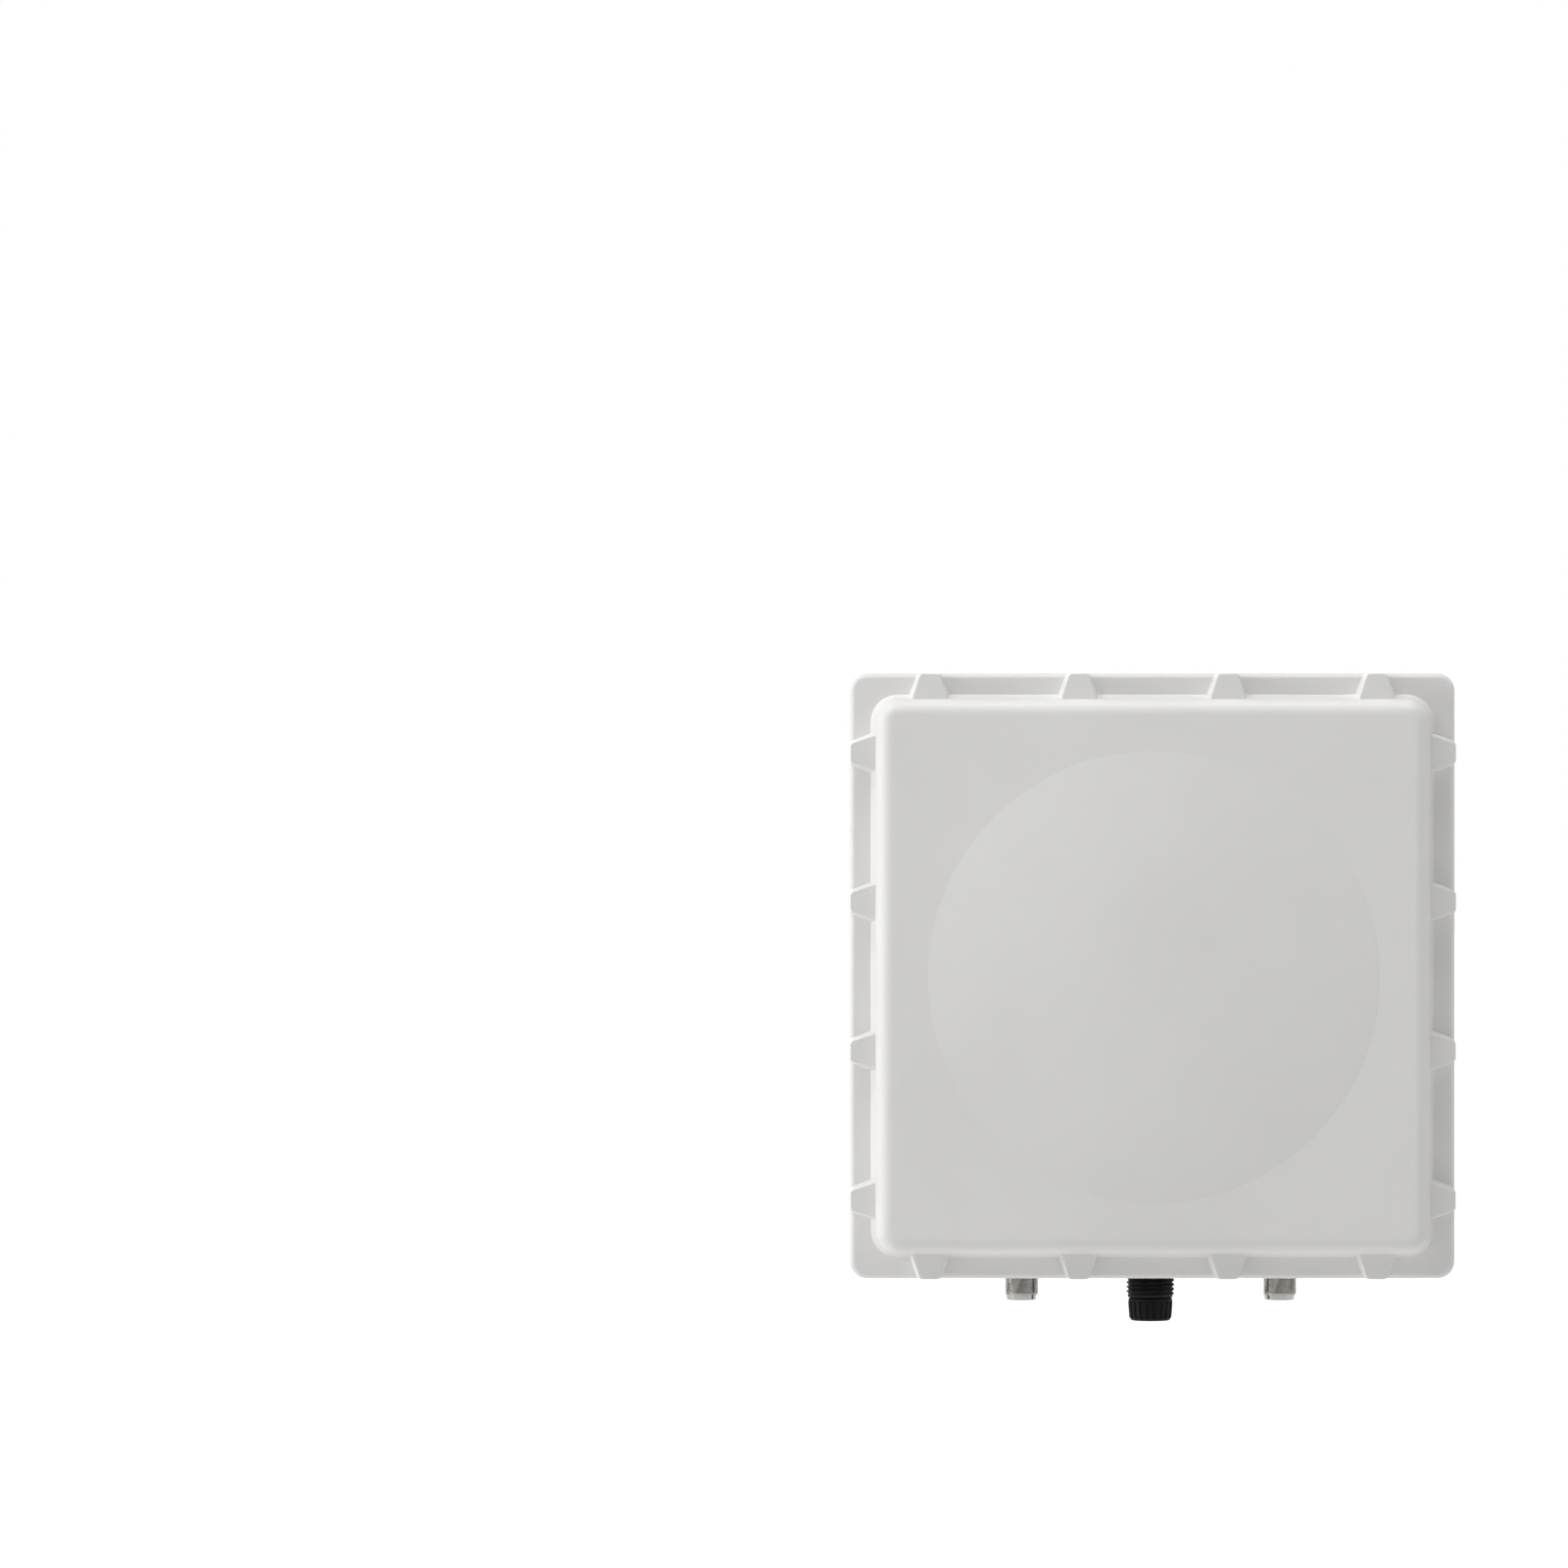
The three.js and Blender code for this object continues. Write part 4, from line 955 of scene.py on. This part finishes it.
dress(port_shell(), "gland_nylon", UNIT, "port_shell")
dress(gland_seal(), "seal_rubber", CORE, "gland_seal")
dress(blanking_plug(), "plug_rubber", CORE, "blanking_plug")
dress(gland_nut(), "gland_nylon", RING, "gland_nut")

# ---- Ground screw and vent ----

INNER_END = WALL_IN + 4  # how far both reach into the housing


def ground_screw():
    """A hexagon-headed screw with a washer face, for an earth lead."""
    seat = OUTER_SEAT
    profile = [(0, seat - 4.9), (1.2, seat - 4.9)] + hex_head(4, seat - 1.5, seat - 5, 0.6)[::-1]
    profile += [(4.1, seat - 1.5), (5.3, seat - 1.45), (5.5, seat - 1.2), (5.5, seat - 0.1), (5.4, seat)]
    profile += [(2.4, seat)] + thread_rings(2.05, 2.4, 0.8, seat + 0.2, INNER_END - 0.6, 7)
    profile += [(1.8, INNER_END), (0, INNER_END)]
    return shade(spin("ground_screw_detail", profile, "z", (GROUND_X, PORT_Y, 0), 48))


def pressure_vent():
    """Breather with a scalloped cap."""
    seat = OUTER_SEAT

    def scallop(base):
        return lambda angles, along: base - 0.35 * (1 + np.cos(angles * 12)) / 2

    profile = [(0, seat - 4.3), (3.4, seat - 4.3), (3.6, seat - 4.5), (5.8, seat - 4.5)]
    profile += [(scallop(6.7), seat - 4.0), (scallop(7.0), seat - 3.2), (scallop(7.0), seat - 1.0)]
    profile += [(6.9, seat - 0.8), (6.9, seat), (3.9, seat)]
    profile += [(3.9, INNER_END - 0.4), (3.5, INNER_END), (0, INNER_END)]
    return shade(spin("pressure_vent_detail", profile, "z", (VENT_X, PORT_Y, 0), 96))


dress(ground_screw(), "bolt_zinc", UNIT, "ground_screw")
dress(pressure_vent(), "vent_plastic", UNIT, "pressure_vent")

# ---- Brackets ----

PIVOT_Y = -75
SLOT_RADIUS = 30  # from the pivot to the lock bolts
TILT_SWEEP = 31  # half of each slot's arc, in degrees
SHEET = 3
BEND = 4.5  # outer radius of the folded edges
BURR = 0.35  # the rounding on cut sheet edges
BRACKET_LOW, BRACKET_HIGH = edges("unit_bracket")
BRACKET_HALF = BRACKET_HIGH[0]
BRACKET_FRONT = BRACKET_LOW[1]
BRACKET_BACK = BRACKET_FRONT + SHEET
BASE_HALF_Z = BRACKET_HIGH[2]
MAST_EAR, SADDLE_BACK, WEB_HALF_Z = edges("mast_bracket")[1]
WEB_FRONT = -40
WEB_BACK = WEB_FRONT + SHEET
SADDLE_HALF = 44
BOLT_HOLE = 4.4
BOLT_HEAD = 6.5  # half width of an M8 head or nut across its flats
LEG_HOLE = 4.5
LEG_X = 34
LEG_Z = 30
MAST_RADIUS = 30
V_ANGLE = math.radians(60)  # each side of the saddles' notch, from the front-to-back line
V_CLEARANCE = 0.4
FAR = 80  # a cut that reaches past the brackets on both sides
TALL = 60  # and one that reaches past them above and below


def arc(centre, radius, start, end, steps=16):
    """Points of an arc, angles in degrees."""
    turns = [math.radians(start + (end - start) * step / steps) for step in range(steps + 1)]
    return [(centre[0] + radius * math.cos(turn), centre[1] + radius * math.sin(turn)) for turn in turns]


def channel(half, closed, open_end):
    """Cross-section of a folded U channel, from its closed side to its open end."""
    sign = 1 if open_end > closed else -1
    inner = BEND - SHEET
    outside = [(-half, open_end, 0), (-half, closed, BEND), (half, closed, BEND), (half, open_end, 0)]
    back = closed + sign * SHEET
    inside = [(half - SHEET, open_end, 0), (half - SHEET, back, inner), (-half + SHEET, back, inner),
              (-half + SHEET, open_end, 0)]
    return rounded(outside + inside)


def arc_slot(half_width):
    centre = (PIVOT_Y, 0)
    low, high = -90 - TILT_SWEEP, -90 + TILT_SWEEP

    def end(angle):
        turn = math.radians(angle)
        return (PIVOT_Y + SLOT_RADIUS * math.cos(turn), SLOT_RADIUS * math.sin(turn))

    outline = arc(centre, SLOT_RADIUS + half_width, low, high, 20)
    outline += arc(end(high), half_width, high, high + 180, 10)[1:]
    outline += arc(centre, SLOT_RADIUS - half_width, high, low, 20)[1:]
    outline += arc(end(low), half_width, low + 180, low + 360, 10)[1:-1]
    return outline


def unit_bracket():
    fan, spread = SLOT_RADIUS + 13, 42
    section = prism("unit_bracket_detail", channel(BRACKET_HALF, BRACKET_FRONT, -28), "z", -TALL, TALL)
    near, far = BRACKET_FRONT - 1, BRACKET_FRONT + BEND
    ear = [(far, 36), (far, BASE_HALF_Z), (near, BASE_HALF_Z)]
    ear += [(near, -BASE_HALF_Z), (far, -BASE_HALF_Z), (far, -42)]
    ear += arc((PIVOT_Y, 0), fan, -90 - spread + 14, -90 + spread, 24)
    ear += arc((PIVOT_Y, 0), 15, -20, 100, 20)
    bracket = intersect(section, prism("ear", ear, "x", -FAR, FAR))
    cut(bracket, prism("slot", arc_slot(BOLT_HOLE), "x", -FAR, FAR))
    cut(bracket, drill(BOLT_HOLE, -FAR, FAR, "x", (0, PIVOT_Y, 0)))
    holes = [drill(3.3, BRACKET_FRONT - 1, BRACKET_BACK + 1, "y", (x, 0, z)) for x, z in PADS]
    cut(bracket, gathered("holes", holes))
    return shade(soften(bracket, BURR))


def mast_bracket():
    """Folded channel with ears forwards, V-notched saddle plates backwards and two welded nuts."""
    section = prism("mast_bracket_detail", channel(MAST_EAR, WEB_BACK, -120), "z", -TALL, TALL)
    ear = [(WEB_BACK + 1, -WEB_HALF_Z), (WEB_BACK + 1, WEB_HALF_Z), (WEB_BACK - BEND, WEB_HALF_Z)]
    ear += [(WEB_BACK - BEND, 38)]
    ear += arc((PIVOT_Y, 0), 14, 80, 180, 20)
    ear += arc((PIVOT_Y, -SLOT_RADIUS), 12, 190, 275, 20)
    ear += [(WEB_BACK - BEND, -46), (WEB_BACK - BEND, -WEB_HALF_Z)]
    bracket = intersect(section, prism("ear", ear, "x", -FAR, FAR))
    inner_z = WEB_HALF_Z - SHEET
    fold = [(SADDLE_BACK, -WEB_HALF_Z, 0), (SADDLE_BACK, -inner_z, 0)]
    fold += [(WEB_BACK, -inner_z, BEND - SHEET), (WEB_BACK, inner_z, BEND - SHEET)]
    fold += [(SADDLE_BACK, inner_z, 0), (SADDLE_BACK, WEB_HALF_Z, 0)]
    fold += [(WEB_FRONT, WEB_HALF_Z, BEND), (WEB_FRONT, -WEB_HALF_Z, BEND)]
    saddles = prism("saddles", rounded(fold), "x", -SADDLE_HALF, SADDLE_HALF)
    apex = -MAST_RADIUS / math.sin(V_ANGLE) - V_CLEARANCE
    mouth_y = SADDLE_BACK + 1
    mouth = (mouth_y - apex) * math.tan(V_ANGLE)
    cut(saddles, prism("notch", [(-mouth, mouth_y), (0, apex), (mouth, mouth_y)], "z", -TALL, TALL))
    join(bracket, saddles)
    for side in (-1, 1):
        inner, outer = side * (MAST_EAR - SHEET - 6), side * (MAST_EAR - 1)
        nut = [(0, inner)] + hex_head(BOLT_HEAD, outer, inner)[::-1] + [(0, outer)]
        join(bracket, spin("weld_nut", nut, "x", (0, PIVOT_Y, -SLOT_RADIUS), 60))
    cut(bracket, drill(BOLT_HOLE, -FAR, FAR, "x", (0, PIVOT_Y, 0)))
    cut(bracket, drill(BOLT_HOLE, -FAR, FAR, "x", (0, PIVOT_Y, -SLOT_RADIUS)))
    legs = [
        drill(LEG_HOLE, WEB_FRONT - 1, WEB_BACK + 1, "y", (x, 0, z))
        for x in (-LEG_X, LEG_X)
        for z in (-LEG_Z, LEG_Z)
    ]
    cut(bracket, gathered("legs", legs))
    return shade(soften(bracket, BURR))


dress(unit_bracket(), "bracket_zinc", UNIT, "unit_bracket")
dress(mast_bracket(), "bracket_zinc", MAST, "mast_bracket")

# ---- Bolts and nuts ----

M6 = (5, 2.7, 1.0)  # half width across flats, shank radius, thread pitch
M8 = (BOLT_HEAD, 4, 1.25)
M8_ROOT = 0.87  # the U-bolts' thread root against their radius


def hex_bolt(name, size, seat, crown, tip, plain, axis, centre):
    """A hexagon-headed bolt: head, plain shank, then thread from plain to its chamfered tip."""
    half, shank, pitch = size
    away = 1 if tip > seat else -1
    profile = [(0, crown + away * 0.15), (half * 0.5, crown + away * 0.1)]
    profile += hex_head(half, seat, crown)[::-1]
    profile += [(shank, seat), (shank, plain)]
    profile += thread_rings(shank * 0.88, shank, pitch, plain + away * 0.1, tip - away * 0.9, 7)
    profile += [(shank * 0.85, tip - away * 0.8), (shank * 0.72, tip), (0, tip)]
    return shade(spin(name, profile, axis, centre, 60))


def hex_nut(name, low, high, half, bore, axis, centre):
    """A nut chamfered on both faces, with a countersunk bore."""
    shape = hexagon(half)
    corner = half / math.cos(TURN / 12)
    full, worn = capped(shape, corner), capped(shape, (corner + half) / 2)
    start, end = NUT_CHAMFER
    profile = [(bore, low + 0.6), (bore + 0.5, low), (half * HEX_FACE, low), (worn, low + end)]
    profile += [(full, low + start), (full, high - start)]
    profile += [(worn, high - end), (half * HEX_FACE, high), (bore + 0.5, high), (bore, high - 0.6)]
    return shade(spin(name, profile, axis, centre, 60))


for number, (x, z) in enumerate([(-40, 35), (40, 35), (-40, -35), (40, -35)], start=1):
    name = f"bracket_screw_{number}"
    low, high = edges(name)
    seat = BRACKET_BACK + GAP
    bolt = hex_bolt(f"{name}_detail", M6, seat, high[1], low[1], BRACKET_FRONT, "y", (x, 0, z))
    dress(bolt, "stainless_screw", UNIT, name)

HEAD_SEAT = BRACKET_HALF + GAP
PIVOT = (0, PIVOT_Y, 0)
low, high = edges("pivot_bolt")
pivot = hex_bolt("pivot_bolt_detail", M8, -HEAD_SEAT, low[0], high[0], 44, "x", PIVOT)
dress(pivot, "bolt_zinc", MAST, "pivot_bolt")
low, high = edges("pivot_nut")
pivot_nut = hex_nut("pivot_nut_detail", low[0], high[0], BOLT_HEAD, 4.3, "x", PIVOT)
dress(pivot_nut, "bolt_zinc", MAST, "pivot_nut")

for side, sign in (("left", -1), ("right", 1)):
    low, high = edges(f"lock_bolt_{side}")
    crown, tip = (low[0], high[0]) if sign < 0 else (high[0], low[0])
    name = f"lock_bolt_{side}"
    place = (0, PIVOT_Y, -SLOT_RADIUS)
    bolt = hex_bolt(f"{name}_detail", M8, sign * HEAD_SEAT, crown, tip, sign * 52, "x", place)
    dress(bolt, "bolt_zinc", MAST, name)


def u_bolt(name, node):
    """A bent rod with a thread on each leg."""
    low, high = edges(node)
    radius = (high[2] - low[2]) / 2
    z = (high[2] + low[2]) / 2
    bow = high[0] - radius
    leg_end, thread_end, chamfer = low[1], -34, 0.8
    segments, leg_steps, bow_steps = 24, 180, 40
    leg = [leg_end + (thread_end - leg_end) * step / leg_steps for step in range(leg_steps + 1)]

    # The spine holds each ring's place, its direction, and how far along a threaded leg it is.
    spine = [((bow, along), (0, 1), along) for along in leg[:-1]]
    spine.append(((bow, thread_end + 1), (0, 1), None))
    for step in range(bow_steps + 1):
        cos, sin = math.cos(step / bow_steps * math.pi), math.sin(step / bow_steps * math.pi)
        spine.append(((bow * cos, bow * sin), (-sin, cos), None))
    spine.append(((-bow, thread_end + 1), (0, -1), None))
    spine += [((-bow, along), (0, -1), along) for along in reversed(leg)]

    ridge = thread(radius * M8_ROOT, radius, M8[2], leg_end + chamfer, thread_end)
    turns = np.arange(segments) / segments * TURN
    rings = []
    for (x, y), (tx, ty), along in spine:
        reach = np.full(segments, radius) if along is None else ridge(turns, along)
        if along is not None and along < leg_end + chamfer:
            taper = M8_ROOT - 0.17 * (1 - (along - leg_end) / chamfer)
            reach = np.full(segments, radius * taper)
        # Across the rod: one direction in the bow's plane, the other along Z.
        rings.append([
            (x + reach[i] * math.cos(turns[i]) * ty, y - reach[i] * math.cos(turns[i]) * tx,
             z + reach[i] * math.sin(turns[i]))
            for i in range(segments)
        ])
    return shade(stacked(name, rings), SHARP_ROUND)


for place in ("upper", "lower"):
    dress(u_bolt(f"u_bolt_{place}_detail", f"u_bolt_{place}"), "bolt_zinc", MAST, f"u_bolt_{place}")

for number in range(1, 5):
    low, high = edges(f"u_bolt_nut_{number}")
    centre = ((low[0] + high[0]) / 2, 0, (low[2] + high[2]) / 2)
    nut = hex_nut(f"u_bolt_nut_{number}_detail", low[1], high[1], BOLT_HEAD, BOLT_HOLE, "y", centre)
    dress(nut, "bolt_zinc", MAST, f"u_bolt_nut_{number}")

# ---- Floor ----

FLOOR_DROP = 900  # the floor's depth below the plate's centre
FLOOR_REACH = 60000
FLOOR_CORNERS = 96
FLOOR_GLOW = (0.06, 1.05)  # its own light, below the object and far from it
GLOW_REACH = (2.5, 7.5)  # the distances between which that light grows, in metres

angles = [step / FLOOR_CORNERS * TURN for step in range(FLOOR_CORNERS)]
rim = [(FLOOR_REACH * math.cos(angle), FLOOR_REACH * math.sin(angle), -FLOOR_DROP) for angle in angles]
floor = mesh_of("floor", rim, [list(range(FLOOR_CORNERS))])
floor_look = Finish("floor_white", specular=0.1)
floor_look.tint(floor_look.noise(2), (0.94, 0.94, 0.94, 1), (0.92, 0.92, 0.92, 1))
floor_look.shader.inputs["Roughness"].default_value = 0.9
floor_look.shader.inputs["Emission Color"].default_value = (1, 1, 1, 1)
floor_look.glow(FLOOR_GLOW, GLOW_REACH)
floor.data.materials.append(floor_look.material)
